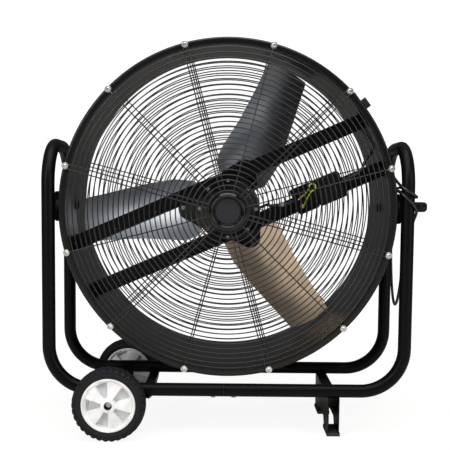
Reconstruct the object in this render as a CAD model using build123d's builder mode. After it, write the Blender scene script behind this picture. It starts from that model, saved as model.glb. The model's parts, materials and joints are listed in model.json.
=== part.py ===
"""Drum fan: a motor-driven impeller in a tilting steel drum, carried by a bent tube frame
with two wheels at one end and a foot at the other.

X is to the right of the fan seen from its motor side, Y points away from that side, Z is up.
The origin is on the floor, under the middle of the fan. All sizes are millimetres.
"""
from build123d import *
from math import asin, cos, degrees, radians, sin
import os

os.makedirs("parts", exist_ok=True)

# ------------------------------------------------------------------ driving dimensions
# Clearances
touch = 0.1            # between faces that seat on each other
run = 0.05             # radial, between a shaft and its bore
loose = 0.3            # between curved faces of neighbouring pieces

# Tube frame
tube_r = 16.0
tube_wall = 1.5
upright_x = 432.0      # centre of the uprights from the middle
upright_y = 132.0      # centre of the front and rear loops from the middle
low_tube_z = 110.5
top_tube_z = 706.0
low_bend = 105.0
top_bend = 100.0
joint_x = -7.0         # where the two halves of the frame meet
spigot_length = 100.0
frame_screw_r = 2.5

# Pivot
pivot_z = 555.0
drum_tilt = 3.0        # degrees, front edge down
bracket_height = 72.0
bracket_sheet = 3.0
bracket_lip = 8.0      # depth of the bracket's inward lips
pivot_bolt_r = 5.0
pivot_head_r = 11.0
pivot_head_h = 7.0
pivot_washer_r = 15.0
spacer_r = 13.0
lock_nut_r = 8.5
lock_nut_h = 9.0
lock_washer_r = 11.0
lock_washer_t = 2.0

# Drum shell
drum_depth = 300.0
wall_r = 388.0         # inside of the wall
drum_sheet = 1.5
rim_r = 405.0          # outside of the turned rims
rim_return = 10.0
rim_corner = 4.0

# Guards
guard_screws = 12
guard_screw_pcd_r = 399.5
guard_dome = 22.0
guard_wire = 3.0
guard_ring_pitch = 36.9   # three times the pitch of the full guard
guard_inner_r = 48.0
guard_outer_r = 382.0
eye_r = 5.5            # centre line of the wire eye round a screw
cap_r = 44.5
cap_disc_r = 30.0
cap_height = 14.0
cap_dish = 8.0
cap_sheet = 1.2
screw_r = 2.5
screw_head_r = 5.2
screw_head_h = 3.4
screw_washer_r = 8.0
screw_length = 14.0
screw_washer_t = 1.0

# Struts and motor
strut_angle = 23.5     # degrees, rising to the right
strut_up = 70.0        # centre line of the upper strut from the drum axis
strut_down = 55.0      # centre line of the lower strut from the drum axis
strut_width = 36.0
strut_depth = 20.0
strut_sheet = 2.5
strut_back = 80.0      # back face of the strut webs, in front of the pivot axis
strut_tab = 34.0
strut_bolt_r = 3.0
bolt_head_r = 5.0      # across the flats, halved
bolt_head_h = 4.0
motor_plate_r = 79.0
motor_plate_t = 3.0
motor_flange_r = 79.0
motor_flange_t = 9.0
motor_bolt_pcd_r = 70.0
motor_bolts_count = 8
motor_bolt_r = 2.5
motor_bolt_head_r = 4.0
motor_bolt_depth = 8.0
strut_screw_r = 3.5
strut_screw_h = 2.0
strut_screw_u = (-168.0, -275.0)   # along the upper strut
low_screw_u = -90.0    # along the lower strut
motor_r = 70.0
motor_wall = 3.0
bell_front_depth = 18.0
motor_body = 66.0
bell_rear_depth = 14.0
bell_wall = 4.0
stator_bore_r = 40.0
air_gap = 0.5
bearing_r = 17.5
bearing_width = 11.0
shaft_r = 8.0

# Impeller
impeller_front = -50.0  # middle of the blades, in front of the pivot axis
blade_count = 3
first_blade = 64.7      # degrees from the right, anticlockwise
blade_tip_r = 377.0
blade_root_r = 66.0
blade_chord = 196.0     # of the sheet that the blade is cut from
blade_pitch = 28.0      # degrees
blade_camber_r = 240.0
blade_t = 2.0
arm_t = 3.0
arm_length = 130.0
arm_width = 104.0       # where the arm is widest
arm_wide_r = 72.0
arm_tip_r = 112.0
arm_tip_half = 26.0
hub_r = 24.0
rivet_r = 3.0
rivet_head_r = 6.0
rivet_head_h = 1.8

# Wheels, axle and foot
wheel_r = 88.0
wheel_width = 42.0
wheel_x = -278.0
wheel_y = 190.0
axle_r = 6.0
axle_half = 199.0      # half length of the axle
axle_sheet = 3.0       # sheet of the axle brackets
axle_bracket_width = 36.0
spacer_wheel_r = 9.0
push_nut_r = 8.5
rim_out_r = 64.5
rim_lip_r = 58.0
hub_out_r = 15.5
pocket_count = 5
pocket_in_r = 17.0
pocket_out_r = 54.0
pocket_angle = 30.0
pocket_depth = 13.0
pocket_start = 107.0
hub_bore_r = 9.6
hub_bore_depth = 14.0
tread_blocks = 24
tread_groove = 3.0
foot_x = 262.0
foot_width = 28.0
foot_sheet = 2.5
foot_reach = 140.0      # half length of the foot channel
foot_leg = 78.0         # length of a leg along the channel
foot_arch_z = 26.0
pad_height = 8.0
brace_x = -199.0
brace_width = 24.0
brace_height = 24.0

# Electrics
lead_r = 3.5
box_wall = 2.0
box_height = 64.0      # across the strut
box_shift = 8.0        # from the lower strut's centre line to the boxes'
tray_start = 155.0     # along the strut, from the drum's middle
tray_length = 54.0
tray_depth = 26.0
capacitor_cover_length = 70.0
capacitor_cover_depth = 36.0
switch_angle = 37.0
switch_front = -65.0   # middle of the switch box, in front of the pivot axis
switch_width = 84.0    # round the drum
switch_length = 80.0   # along the drum's axis
switch_height = 40.0
switch_wall = 2.5
lead_hole_angle = 33.5
lead_hole_front = -45.0
grommet_r = 6.0
knob_r = 15.0
knob_height = 20.0
knob_stem_r = 3.0
gland_r = 9.0
gland_length = 22.0

# Supply cord
cord_r = 3.5
cord_gap = 0.6         # between the cord and what it is wound round

# ------------------------------------------------------------------ frames of reference
tilt_rad = radians(drum_tilt)
pivot = Vector(0, 0, pivot_z)
front_dir = Vector(0, -cos(tilt_rad), -sin(tilt_rad))
up_dir = Vector(0, -sin(tilt_rad), cos(tilt_rad))
drum_face = Plane(origin=pivot, x_dir=(1, 0, 0), z_dir=front_dir)
drum_section = Plane(origin=pivot, x_dir=(1, 0, 0), z_dir=-up_dir)
drum_axis = Axis(pivot, front_dir)
half_drum = drum_depth / 2
guard_stand = 1.5 * guard_wire + 2 * touch
strut_front = strut_back + strut_depth


def write_piece(piece, label):
    """Label a finished piece and write it to its own file."""
    piece.part.label = label
    export_step(piece.part, "parts/" + label + ".step")


def on_drum(x, y, front):
    """A point given in the drum's own frame."""
    return drum_face.from_local_coords(Vector(x, y, front))


def radial_plane(angle, radius, front):
    """A plane across a radius of the drum: x runs anticlockwise, y towards the front."""
    a = radians(angle)
    radial = drum_face.x_dir * cos(a) + up_dir * sin(a)
    along = up_dir * cos(a) - drum_face.x_dir * sin(a)
    return Plane(origin=on_drum(radius * cos(a), radius * sin(a), front), x_dir=along, z_dir=radial)


def face_at(front, angle=0.0):
    """The drum's face plane, moved to the front and turned about the drum's axis."""
    a = radians(angle)
    across = drum_face.x_dir * cos(a) + up_dir * sin(a)
    return Plane(origin=on_drum(0, 0, front), x_dir=across, z_dir=front_dir)


def guard_front(radius):
    """Middle of the guard's rings at a radius, in front of the pivot axis."""
    return half_drum + guard_stand + guard_dome * (1 - (radius / wall_r) ** 2)


# ------------------------------------------------------------------ tube frame
def frame_corners(side):
    """Corners of one half of the frame: side is -1 for the left, 1 for the right."""
    start_x = joint_x + side * touch
    x = side * upright_x
    return [
        (start_x, -upright_y, low_tube_z),
        (x, -upright_y, low_tube_z),
        (x, -upright_y, top_tube_z),
        (x, upright_y, top_tube_z),
        (x, upright_y, low_tube_z),
        (start_x, upright_y, low_tube_z),
    ]


frame_screw_x = (joint_x - spigot_length / 4, joint_x + spigot_length / 4)

for side, name in ((-1, "frame_tube_left"), (1, "frame_tube_right")):
    with BuildPart() as frame_tube:
        with BuildLine() as tube_route:
            FilletPolyline(*frame_corners(side), radius=[low_bend, top_bend, top_bend, low_bend])
        with BuildSketch(Plane(origin=tube_route.line @ 0, z_dir=tube_route.line % 0)):
            Circle(tube_r)
            Circle(tube_r - tube_wall, mode=Mode.SUBTRACT)
        sweep()
        for y in (-upright_y, upright_y):
            with Locations((frame_screw_x[(side + 1) // 2], y, low_tube_z - tube_r)):
                Cylinder(frame_screw_r + touch, 4 * tube_wall, mode=Mode.SUBTRACT)
    write_piece(frame_tube, name)

spigot_r = tube_r - tube_wall - touch
with BuildPart() as tube_spigots:
    for y in (-upright_y, upright_y):
        with BuildSketch(Plane(origin=(joint_x - spigot_length / 2, y, low_tube_z), z_dir=(1, 0, 0))):
            Circle(spigot_r)
            Circle(spigot_r - tube_wall, mode=Mode.SUBTRACT)
        extrude(amount=spigot_length)
    for x in frame_screw_x:
        for y in (-upright_y, upright_y):
            with Locations((x, y, low_tube_z - tube_r)):
                Cylinder(frame_screw_r + touch, 8 * tube_wall, mode=Mode.SUBTRACT)
write_piece(tube_spigots, "tube_spigots")

with BuildPart() as frame_screws:
    screw_top = low_tube_z - spigot_r + 2 * tube_wall
    head_top = low_tube_z - tube_r - touch
    for x in frame_screw_x:
        for y in (-upright_y, upright_y):
            with Locations((x, y, head_top)):
                Cylinder(frame_screw_r, screw_top - head_top,
                         align=(Align.CENTER, Align.CENTER, Align.MIN))
                Cylinder(2 * frame_screw_r, frame_screw_r,
                         align=(Align.CENTER, Align.CENTER, Align.MAX))
write_piece(frame_screws, "frame_screws")

# ------------------------------------------------------------------ pivots
bracket_web_x = upright_x - tube_r - bracket_sheet - touch   # inner face of the bracket's web
bracket_tip_x = bracket_web_x - bracket_lip
wall_out_r = wall_r + drum_sheet
for side, name in ((-1, "pivot_bracket_left"), (1, "pivot_bracket_right")):
    with BuildPart() as pivot_bracket:
        with BuildSketch(Plane.XZ.offset(-upright_y)):
            with BuildLine():
                FilletPolyline(
                    (side * bracket_tip_x, pivot_z + bracket_height / 2 - bracket_sheet / 2),
                    (side * (bracket_web_x + bracket_sheet / 2), pivot_z + bracket_height / 2 - bracket_sheet / 2),
                    (side * (bracket_web_x + bracket_sheet / 2), pivot_z - bracket_height / 2 + bracket_sheet / 2),
                    (side * bracket_tip_x, pivot_z - bracket_height / 2 + bracket_sheet / 2),
                    radius=bracket_sheet,
                )
            trace(line_width=bracket_sheet)
        extrude(amount=2 * upright_y)
        with Locations(Location((side * bracket_web_x, 0, pivot_z), (0, 90, 0))):
            Cylinder(pivot_bolt_r + run, 4 * bracket_sheet, mode=Mode.SUBTRACT)
    write_piece(pivot_bracket, name)

head_face = wall_r - 2 * touch
nut_washer_x = bracket_web_x + bracket_sheet + touch
spacer_end = bracket_web_x - 3.0
side_rotation = {-1: (0, -90, 0), 1: (0, 90, 0)}

with BuildPart() as pivot_bolts:
    bolt_end = nut_washer_x + lock_washer_t + lock_nut_h + 3
    for side in (-1, 1):
        with Locations(Location((side * head_face, 0, pivot_z), side_rotation[side])):
            Cylinder(pivot_bolt_r, bolt_end - head_face, align=(Align.CENTER, Align.CENTER, Align.MIN))
            Cylinder(pivot_head_r, pivot_head_h, align=(Align.CENTER, Align.CENTER, Align.MAX))
    head_faces = pivot_bolts.faces().filter_by(Axis.X).filter_by(lambda f: abs(f.center().X) < head_face - 1)
    chamfer(head_faces.edges(), 2)
write_piece(pivot_bolts, "pivot_bolts")

with BuildPart() as pivot_spacers:
    for side in (-1, 1):
        with Locations(Location((side * (wall_out_r + loose), 0, pivot_z), side_rotation[side])):
            Cylinder(spacer_r, spacer_end - wall_out_r - loose,
                     align=(Align.CENTER, Align.CENTER, Align.MIN))
            Cylinder(pivot_bolt_r + touch, 60, mode=Mode.SUBTRACT)
    for side in (-1, 1):
        with Locations(Location((side * (spacer_end + touch), 0, pivot_z), side_rotation[side])):
            Cylinder(pivot_washer_r, bracket_web_x - spacer_end - 2 * touch,
                     align=(Align.CENTER, Align.CENTER, Align.MIN))
            Cylinder(pivot_bolt_r + touch, 60, mode=Mode.SUBTRACT)
write_piece(pivot_spacers, "pivot_spacers")

with BuildPart() as pivot_nuts:
    for side in (-1, 1):
        with Locations(Location((side * nut_washer_x, 0, pivot_z), side_rotation[side])):
            Cylinder(lock_washer_r, lock_washer_t, align=(Align.CENTER, Align.CENTER, Align.MIN))
        with BuildSketch(Plane(origin=(side * (nut_washer_x + lock_washer_t), 0, pivot_z),
                               z_dir=(side, 0, 0), x_dir=(0, 1, 0))):
            RegularPolygon(lock_nut_r, 6, major_radius=False)
        extrude(amount=lock_nut_h)
        with Locations(Location((side * nut_washer_x, 0, pivot_z), side_rotation[side])):
            Cylinder(pivot_bolt_r + touch, 60, mode=Mode.SUBTRACT)
write_piece(pivot_nuts, "pivot_nuts")

# ------------------------------------------------------------------ drum shell
screw_angles = [90 - 180 / guard_screws - 360 / guard_screws * i for i in range(guard_screws)]
strut_lines = ((strut_up, "strut_upper"), (-strut_down, "strut_lower"))


def strut_end_angles(offset):
    """Where the middle of a strut's two end tabs meets the wall."""
    turn = degrees(asin(offset / wall_r))
    return (strut_angle + turn, strut_angle + 180 - turn)


tab_bolt_front = strut_front + strut_tab / 3
with BuildPart() as drum_shell:
    with BuildSketch(drum_section):
        with BuildLine():
            rim_line = rim_r - drum_sheet / 2
            face_line = half_drum - drum_sheet / 2
            wall_line = wall_r + drum_sheet / 2
            Polyline(
                (rim_line, half_drum - rim_return), (rim_line, face_line - rim_corner),
                (rim_line - rim_corner, face_line), (wall_line, face_line), (wall_line, -face_line),
                (rim_line - rim_corner, -face_line), (rim_line, rim_corner - face_line),
                (rim_line, rim_return - half_drum),
            )
        trace(line_width=drum_sheet)
    revolve(axis=drum_axis)
    with BuildSketch(drum_face.offset(-half_drum)):
        with PolarLocations(guard_screw_pcd_r, guard_screws, start_angle=screw_angles[0]):
            Circle(screw_r + touch)
    extrude(amount=drum_depth, mode=Mode.SUBTRACT)
    with Locations(Location((0, 0, pivot_z), (0, 90, 0))):
        Cylinder(pivot_bolt_r + touch, 2 * rim_r, mode=Mode.SUBTRACT)
    for offset, strut_name in strut_lines:
        for angle in strut_end_angles(offset):
            with BuildSketch(radial_plane(angle, wall_r - 5, tab_bolt_front)):
                Circle(strut_bolt_r + touch)
            extrude(amount=12, mode=Mode.SUBTRACT)
    with BuildSketch(radial_plane(lead_hole_angle, wall_r - 5, lead_hole_front)):
        Circle(grommet_r + touch)
    extrude(amount=12, mode=Mode.SUBTRACT)
write_piece(drum_shell, "drum_shell")

# ------------------------------------------------------------------ guards
spoke_gap = 2 * eye_r
ring_count = int((guard_outer_r - guard_inner_r) / guard_ring_pitch) + 1


def guard_rings(direction):
    """Concentric rings of square wire on the dome; direction is 1 in front, -1 behind."""
    with BuildSketch(drum_section) as sections:
        for i in range(ring_count):
            radius = guard_outer_r - i * guard_ring_pitch
            with Locations((radius, direction * guard_front(radius))):
                Rectangle(guard_wire, guard_wire)
    revolve(sections.sketch, axis=drum_axis)


def guard_spoke(angle, shift, direction, reach):
    """One radial wire under the rings, from the cap to its screw."""
    a = radians(angle)
    radial = drum_face.x_dir * cos(a) + up_dir * sin(a)
    across = up_dir * cos(a) - drum_face.x_dir * sin(a)
    plane = Plane(origin=pivot + across * shift, x_dir=radial, z_dir=radial.cross(front_dir))
    radii = (spoke_start_r, (spoke_start_r + spoke_bend_r) / 2, spoke_bend_r)
    upper = [(r, direction * (guard_front(r) - spoke_drop)) for r in radii]
    lower = [(r, direction * (guard_front(r) - spoke_drop - guard_wire)) for r in reversed(radii)]
    seat_low, seat_top = direction * (half_drum + touch), direction * (half_drum + touch + guard_wire)
    with BuildSketch(plane) as wire_side:
        with BuildLine():
            ThreePointArc(*upper)
            Polyline(upper[-1], (spoke_seat_r, seat_top), (reach, seat_top), (reach, seat_low),
                     (spoke_seat_r, seat_low), lower[0])
            ThreePointArc(*lower)
            Line(lower[-1], upper[0])
        make_face()
    extrude(wire_side.sketch, amount=guard_wire / 2, both=True)


def guard_spokes(direction):
    """Single and paired wires in turn, each ending in an eye round its screw."""
    for i, angle in enumerate(screw_angles):
        if i % 2:
            for shift in (-eye_r, eye_r):
                guard_spoke(angle, shift, direction, guard_screw_pcd_r)
        else:
            guard_spoke(angle, 0, direction, guard_screw_pcd_r - eye_r)
    with BuildSketch(drum_face.offset(direction * (half_drum + touch))) as eyes:
        with PolarLocations(guard_screw_pcd_r, guard_screws, start_angle=screw_angles[0]):
            RegularPolygon(eye_r + guard_wire / 2, 8, major_radius=False)
            RegularPolygon(eye_r - guard_wire / 2, 8, major_radius=False, mode=Mode.SUBTRACT)
    extrude(eyes.sketch, amount=direction * guard_wire)


spoke_drop = guard_wire / 2 + 0.45
spoke_start_r = cap_r - 6
spoke_bend_r = guard_outer_r
spoke_seat_r = guard_screw_pcd_r - screw_washer_r - 1
cap_top = guard_front(0) + cap_height - guard_wire
cap_seat = guard_front(spoke_start_r) - guard_wire / 2
plate_front = guard_front(cap_r) - spoke_drop - guard_wire - touch
disc_seat = cap_top - cap_dish + touch
for direction, end in ((1, "front"), (-1, "rear")):
    with BuildPart() as guard:
        guard_rings(direction)
        guard_spokes(direction)
    write_piece(guard, "guard_" + end)

with BuildPart() as guard_caps:
    for direction in (1, -1):
        with BuildSketch(drum_section):
            with BuildLine():
                Polyline(
                    (0, direction * (cap_top - cap_dish)), (cap_disc_r, direction * (cap_top - cap_dish)),
                    (cap_r - 6, direction * cap_top), (cap_r, direction * (cap_top - 4)),
                    (cap_r, direction * cap_seat), (cap_r - cap_sheet, direction * cap_seat),
                    (cap_r - cap_sheet, direction * (cap_top - 4.5)),
                    (cap_r - 6.5, direction * (cap_top - cap_sheet)),
                    (cap_disc_r + 0.5, direction * (cap_top - cap_dish - cap_sheet)),
                    (0, direction * (cap_top - cap_dish - cap_sheet)), close=True,
                )
            make_face()
        revolve(axis=drum_axis)
write_piece(guard_caps, "guard_caps")

with BuildPart() as cap_discs:
    for direction in (1, -1):
        with BuildSketch(drum_face.offset(direction * disc_seat)):
            Circle(cap_disc_r - 2)
        extrude(amount=direction * cap_sheet)
write_piece(cap_discs, "cap_discs")

with BuildPart() as spoke_plates:
    for direction in (1, -1):
        with BuildSketch(drum_face.offset(direction * plate_front)):
            Circle(cap_r + 3)
        extrude(amount=-direction * cap_sheet)
write_piece(spoke_plates, "spoke_plates")

head_seat = half_drum + guard_wire + 2 * touch
with BuildPart() as guard_fixings:
    for direction in (1, -1):
        for seat, length, radius, sides in (
            (head_seat, screw_washer_t, screw_washer_r, 8),
            (head_seat + screw_washer_t, screw_head_h, screw_head_r, 6),
            (head_seat, -screw_length, screw_r, 6),
        ):
            with BuildSketch(drum_face.offset(direction * seat)):
                with PolarLocations(guard_screw_pcd_r, guard_screws, start_angle=screw_angles[0]):
                    RegularPolygon(radius, sides)
            extrude(amount=direction * length)
write_piece(guard_fixings, "guard_screws")

# ------------------------------------------------------------------ struts
inside_r = wall_r - loose
motor_bolt_angles = [360 / motor_bolts_count * i for i in range(motor_bolts_count)]
strut_bolt_angles = (90, 135, 270, 315)     # the motor bolts that also hold the struts
for offset, name in strut_lines:
    with BuildPart() as strut:
        with BuildSketch(face_at(strut_back, strut_angle)):
            with Locations((0, offset)):
                Rectangle(2 * wall_r, strut_width)
        extrude(amount=strut_sheet)
        with BuildSketch(face_at(strut_back, strut_angle)):
            for edge in (-1, 1):
                with Locations((0, offset + edge * (strut_width - strut_sheet) / 2)):
                    Rectangle(2 * wall_r, strut_sheet)
        extrude(amount=strut_depth)
        with BuildSketch(face_at(strut_back)):
            Circle(inside_r)
        extrude(amount=strut_depth, mode=Mode.INTERSECT)
        with BuildSketch(face_at(strut_back, strut_angle)):
            Circle(inside_r)
            Circle(inside_r - strut_sheet, mode=Mode.SUBTRACT)
            with Locations((0, offset)):
                Rectangle(2 * wall_r, strut_width, mode=Mode.INTERSECT)
        extrude(amount=strut_depth + strut_tab)
        for angle in strut_end_angles(offset):
            with BuildSketch(radial_plane(angle, wall_r - 12, tab_bolt_front)):
                Circle(strut_bolt_r + touch)
            extrude(amount=20, mode=Mode.SUBTRACT)
        with BuildSketch(face_at(strut_back)):
            with PolarLocations(motor_bolt_pcd_r, motor_bolts_count):
                Circle(motor_bolt_r + touch)
        extrude(amount=strut_sheet, mode=Mode.SUBTRACT)
    write_piece(strut, name)

with BuildPart() as strut_bolts:
    for offset, name in strut_lines:
        for angle in strut_end_angles(offset):
            head = radial_plane(angle, inside_r - strut_sheet - 2 * touch, tab_bolt_front)
            with BuildSketch(head):
                RegularPolygon(bolt_head_r, 6, major_radius=False)
            extrude(amount=-bolt_head_h)
            with BuildSketch(head):
                Circle(strut_bolt_r)
            extrude(amount=strut_sheet + drum_sheet + 7)
            with BuildSketch(radial_plane(angle, wall_out_r + touch, tab_bolt_front)):
                RegularPolygon(bolt_head_r, 6, major_radius=False)
            extrude(amount=bolt_head_h)
    with BuildSketch(face_at(strut_back + strut_sheet + touch, strut_angle)):
        with Locations(*[(u, strut_up - 8) for u in strut_screw_u], (low_screw_u, -strut_down)):
            RegularPolygon(strut_screw_r, 8)
    extrude(amount=strut_screw_h)
write_piece(strut_bolts, "strut_bolts")

# ------------------------------------------------------------------ motor
plate_face = strut_back - touch
bell_face = plate_face - motor_plate_t - touch
plate_back = plate_face - motor_plate_t
with BuildPart() as motor_plate:
    with BuildSketch(face_at(plate_back)):
        Circle(motor_plate_r)
        Circle(bearing_r + 6, mode=Mode.SUBTRACT)
        with PolarLocations(motor_bolt_pcd_r, motor_bolts_count):
            Circle(motor_bolt_r + touch, mode=Mode.SUBTRACT)
    extrude(amount=motor_plate_t)
write_piece(motor_plate, "motor_plate")

housing_front = bell_face - bell_front_depth
housing_back = housing_front - motor_body
bell_back_face = housing_back - bell_rear_depth

with BuildPart() as bell_front:
    with BuildSketch(drum_section):
        with BuildLine():
            Polyline(
                (shaft_r + 1.5, bell_face), (motor_flange_r, bell_face),
                (motor_flange_r, bell_face - motor_flange_t), (motor_r, bell_face - motor_flange_t),
                (motor_r, housing_front + touch), (motor_r - motor_wall - bell_wall, housing_front + touch),
                (motor_r - motor_wall - bell_wall, bell_face - bell_wall),
                (bearing_r + bell_wall, bell_face - bell_wall),
                (bearing_r + bell_wall, bell_face - bell_wall - bearing_width),
                (bearing_r + touch, bell_face - bell_wall - bearing_width),
                (bearing_r + touch, bell_face - bell_wall), (shaft_r + 1.5, bell_face - bell_wall),
                close=True,
            )
        make_face()
    revolve(axis=drum_axis)
    with BuildSketch(face_at(bell_face)):
        with PolarLocations(motor_bolt_pcd_r, motor_bolts_count):
            Circle(motor_bolt_r + touch)
    extrude(amount=-motor_bolt_depth - 5 * touch, mode=Mode.SUBTRACT)
write_piece(bell_front, "motor_bell_front")

with BuildPart() as motor_housing:
    with BuildSketch(face_at(housing_front)):
        Circle(motor_r)
        Circle(motor_r - motor_wall, mode=Mode.SUBTRACT)
    extrude(amount=-motor_body)
write_piece(motor_housing, "motor_housing")

with BuildPart() as bell_rear:
    with BuildSketch(drum_section):
        with BuildLine():
            Polyline(
                (shaft_r + 1.5, bell_back_face), (motor_r - 10, bell_back_face),
                (motor_r, bell_back_face + 10), (motor_r, housing_back - touch),
                (motor_r - motor_wall - bell_wall, housing_back - touch),
                (motor_r - motor_wall - bell_wall, bell_back_face + bell_wall),
                (bearing_r + bell_wall, bell_back_face + bell_wall),
                (bearing_r + bell_wall, bell_back_face + bell_wall + bearing_width),
                (bearing_r + touch, bell_back_face + bell_wall + bearing_width),
                (bearing_r + touch, bell_back_face + bell_wall), (shaft_r + 1.5, bell_back_face + bell_wall),
                close=True,
            )
        make_face()
    revolve(axis=drum_axis)
write_piece(bell_rear, "motor_bell_rear")

with BuildPart() as motor_bearings:
    for start in (bell_face - bell_wall - touch, bell_back_face + bell_wall + touch + bearing_width):
        with BuildSketch(face_at(start)):
            Circle(bearing_r)
            Circle(shaft_r + run, mode=Mode.SUBTRACT)
        extrude(amount=-bearing_width)
write_piece(motor_bearings, "motor_bearings")

stator_front = housing_front - 12
stator_length = motor_body - 26
with BuildPart() as stator:
    with BuildSketch(face_at(stator_front)):
        Circle(motor_r - motor_wall - touch)
        Circle(stator_bore_r, mode=Mode.SUBTRACT)
    extrude(amount=-stator_length)
write_piece(stator, "motor_stator")

with BuildPart() as windings:
    winding_depth = 9.0
    for middle in (stator_front + winding_depth / 2 + touch,
                   stator_front - stator_length - winding_depth / 2 - touch):
        with BuildSketch(drum_section):
            with Locations(((stator_bore_r + motor_r - motor_wall) / 2, middle)):
                Rectangle(16, winding_depth)
        revolve(axis=drum_axis)
write_piece(windings, "motor_windings")

with BuildPart() as motor_bolts:
    for angle in motor_bolt_angles:
        on_strut = angle in strut_bolt_angles
        seat = strut_back + strut_sheet + touch if on_strut else plate_face + touch
        with BuildSketch(face_at(seat, angle)):
            with Locations((motor_bolt_pcd_r, 0)):
                RegularPolygon(motor_bolt_head_r, 6, major_radius=False)
        extrude(amount=bolt_head_h)
        with BuildSketch(face_at(seat, angle)):
            with Locations((motor_bolt_pcd_r, 0)):
                Circle(motor_bolt_r)
        extrude(amount=bell_face - motor_bolt_depth - seat)
write_piece(motor_bolts, "motor_bolts")

# ------------------------------------------------------------------ impeller
hub_front = impeller_front + 21
hub_back = impeller_front - 24
shaft_front = bell_face - bell_wall + 2
with BuildPart() as motor_shaft:
    with BuildSketch(face_at(shaft_front)):
        Circle(shaft_r)
    extrude(amount=hub_back - 8 - shaft_front)
write_piece(motor_shaft, "motor_shaft")

with BuildPart() as rotor:
    with BuildSketch(face_at(stator_front)):
        Circle(stator_bore_r - air_gap)
        Circle(shaft_r + touch, mode=Mode.SUBTRACT)
    extrude(amount=-stator_length)
write_piece(rotor, "motor_rotor")

pitch_rad = radians(blade_pitch)


def camber_point(angle, radius):
    """A point of the blade's section: x runs anticlockwise, y towards the front."""
    a = radians(angle)
    chordwise = radius * sin(a)
    height = radius * cos(a) - blade_camber_r
    return (chordwise * cos(pitch_rad) - height * sin(pitch_rad),
            chordwise * sin(pitch_rad) + height * cos(pitch_rad))


def cambered_sheet(plane, length, half_chord, radius, thickness):
    """A sheet of the blade's curve, drawn across a radius and pulled outwards."""
    half_angle = degrees(asin(half_chord / radius))
    low, high = radius - thickness / 2, radius + thickness / 2
    with BuildSketch(plane) as section:
        with BuildLine():
            ThreePointArc(*[camber_point(a, high) for a in (-half_angle, 0, half_angle)])
            Line(camber_point(half_angle, high), camber_point(half_angle, low))
            ThreePointArc(*[camber_point(a, low) for a in (half_angle, 0, -half_angle)])
            Line(camber_point(-half_angle, low), camber_point(-half_angle, high))
        make_face()
    extrude(section.sketch, amount=length)


arm_camber = blade_camber_r + blade_t / 2 + arm_t / 2 + touch
blade_angles = [first_blade + 360 / blade_count * i for i in range(blade_count)]
rivet_spots = ((118.0, 0.0), (80.0, 9.6), (80.0, -10.6))   # radius, angle on the camber


def rivet_plane(blade_angle, spot, lift):
    """A plane square to the sheets at a rivet, lifted from the blade's middle surface."""
    radius, camber_angle = spot
    along, front = camber_point(camber_angle, blade_camber_r + lift)
    base = radial_plane(blade_angle, radius, impeller_front)
    lean = radians(camber_angle)
    normal_x = sin(lean) * cos(pitch_rad) - cos(lean) * sin(pitch_rad)
    normal_y = sin(lean) * sin(pitch_rad) + cos(lean) * cos(pitch_rad)
    normal = base.x_dir * normal_x + base.y_dir * normal_y
    return Plane(origin=base.from_local_coords(Vector(along, front, 0)), z_dir=normal, x_dir=base.z_dir)


half_chord = blade_chord / 2
# Outline of a blade seen from the front: radius, and distance to the anticlockwise side
blade_lead = ((blade_root_r, 46.0), (84.0, 70.0), (104.0, 78.5), (124.0, 80.5), (214.0, 69.5), (300.0, 66.0),
              (blade_tip_r + 12, 66.0))
blade_trail = ((blade_tip_r + 12, -38.0), (365.0, -47.0), (342.0, -50.0), (271.0, -61.5), (210.0, -70.5),
               (140.0, -77.0), (84.0, -68.0), (blade_root_r, -46.0))
for number, angle in enumerate(blade_angles):
    with BuildPart() as blade:
        cambered_sheet(radial_plane(angle, blade_root_r - 1, impeller_front),
                       blade_tip_r + 20 - blade_root_r, half_chord, blade_camber_r, blade_t)
        wide = half_chord
        with BuildSketch(face_at(impeller_front - wide, angle)):
            with BuildLine():
                Polyline(*blade_lead, *blade_trail, close=True)
            make_face()
        extrude(amount=2 * wide, mode=Mode.INTERSECT)
        with BuildSketch(face_at(impeller_front - wide)):
            Circle(blade_tip_r)
        extrude(amount=2 * wide, mode=Mode.INTERSECT)
        for spot in rivet_spots:
            with BuildSketch(rivet_plane(angle, spot, -4)):
                Circle(rivet_r + touch)
            extrude(amount=8, mode=Mode.SUBTRACT)
    write_piece(blade, "blade_%d" % (number + 1))

half_arm = arm_width / 2
with BuildPart() as hub_spider:
    for angle in blade_angles:
        with BuildPart(mode=Mode.PRIVATE) as arm:
            cambered_sheet(radial_plane(angle, 6, impeller_front), arm_length - 6,
                           half_arm + 14, arm_camber, arm_t)
            with BuildSketch(face_at(impeller_front - half_chord, angle)):
                with BuildLine():
                    Line((0, -14), (0, 14))
                    Line((0, 14), (arm_wide_r, half_arm))
                    Line((arm_wide_r, half_arm), (arm_tip_r, arm_tip_half))
                    ThreePointArc((arm_tip_r, arm_tip_half), (arm_length, 0), (arm_tip_r, -arm_tip_half))
                    Line((arm_tip_r, -arm_tip_half), (arm_wide_r, -half_arm))
                    Line((arm_wide_r, -half_arm), (0, -14))
                make_face()
            extrude(amount=blade_chord, mode=Mode.INTERSECT)
            for spot in rivet_spots:
                with BuildSketch(rivet_plane(angle, spot, -2)):
                    Circle(rivet_r + touch)
                extrude(amount=10, mode=Mode.SUBTRACT)
        add(arm.part)
    with BuildSketch(face_at(hub_back)):
        Circle(hub_r)
    extrude(amount=hub_front - hub_back)
    with BuildSketch(face_at(hub_back)):
        Circle(shaft_r + touch)
    extrude(amount=hub_front - hub_back, mode=Mode.SUBTRACT)
write_piece(hub_spider, "hub_spider")

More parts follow.
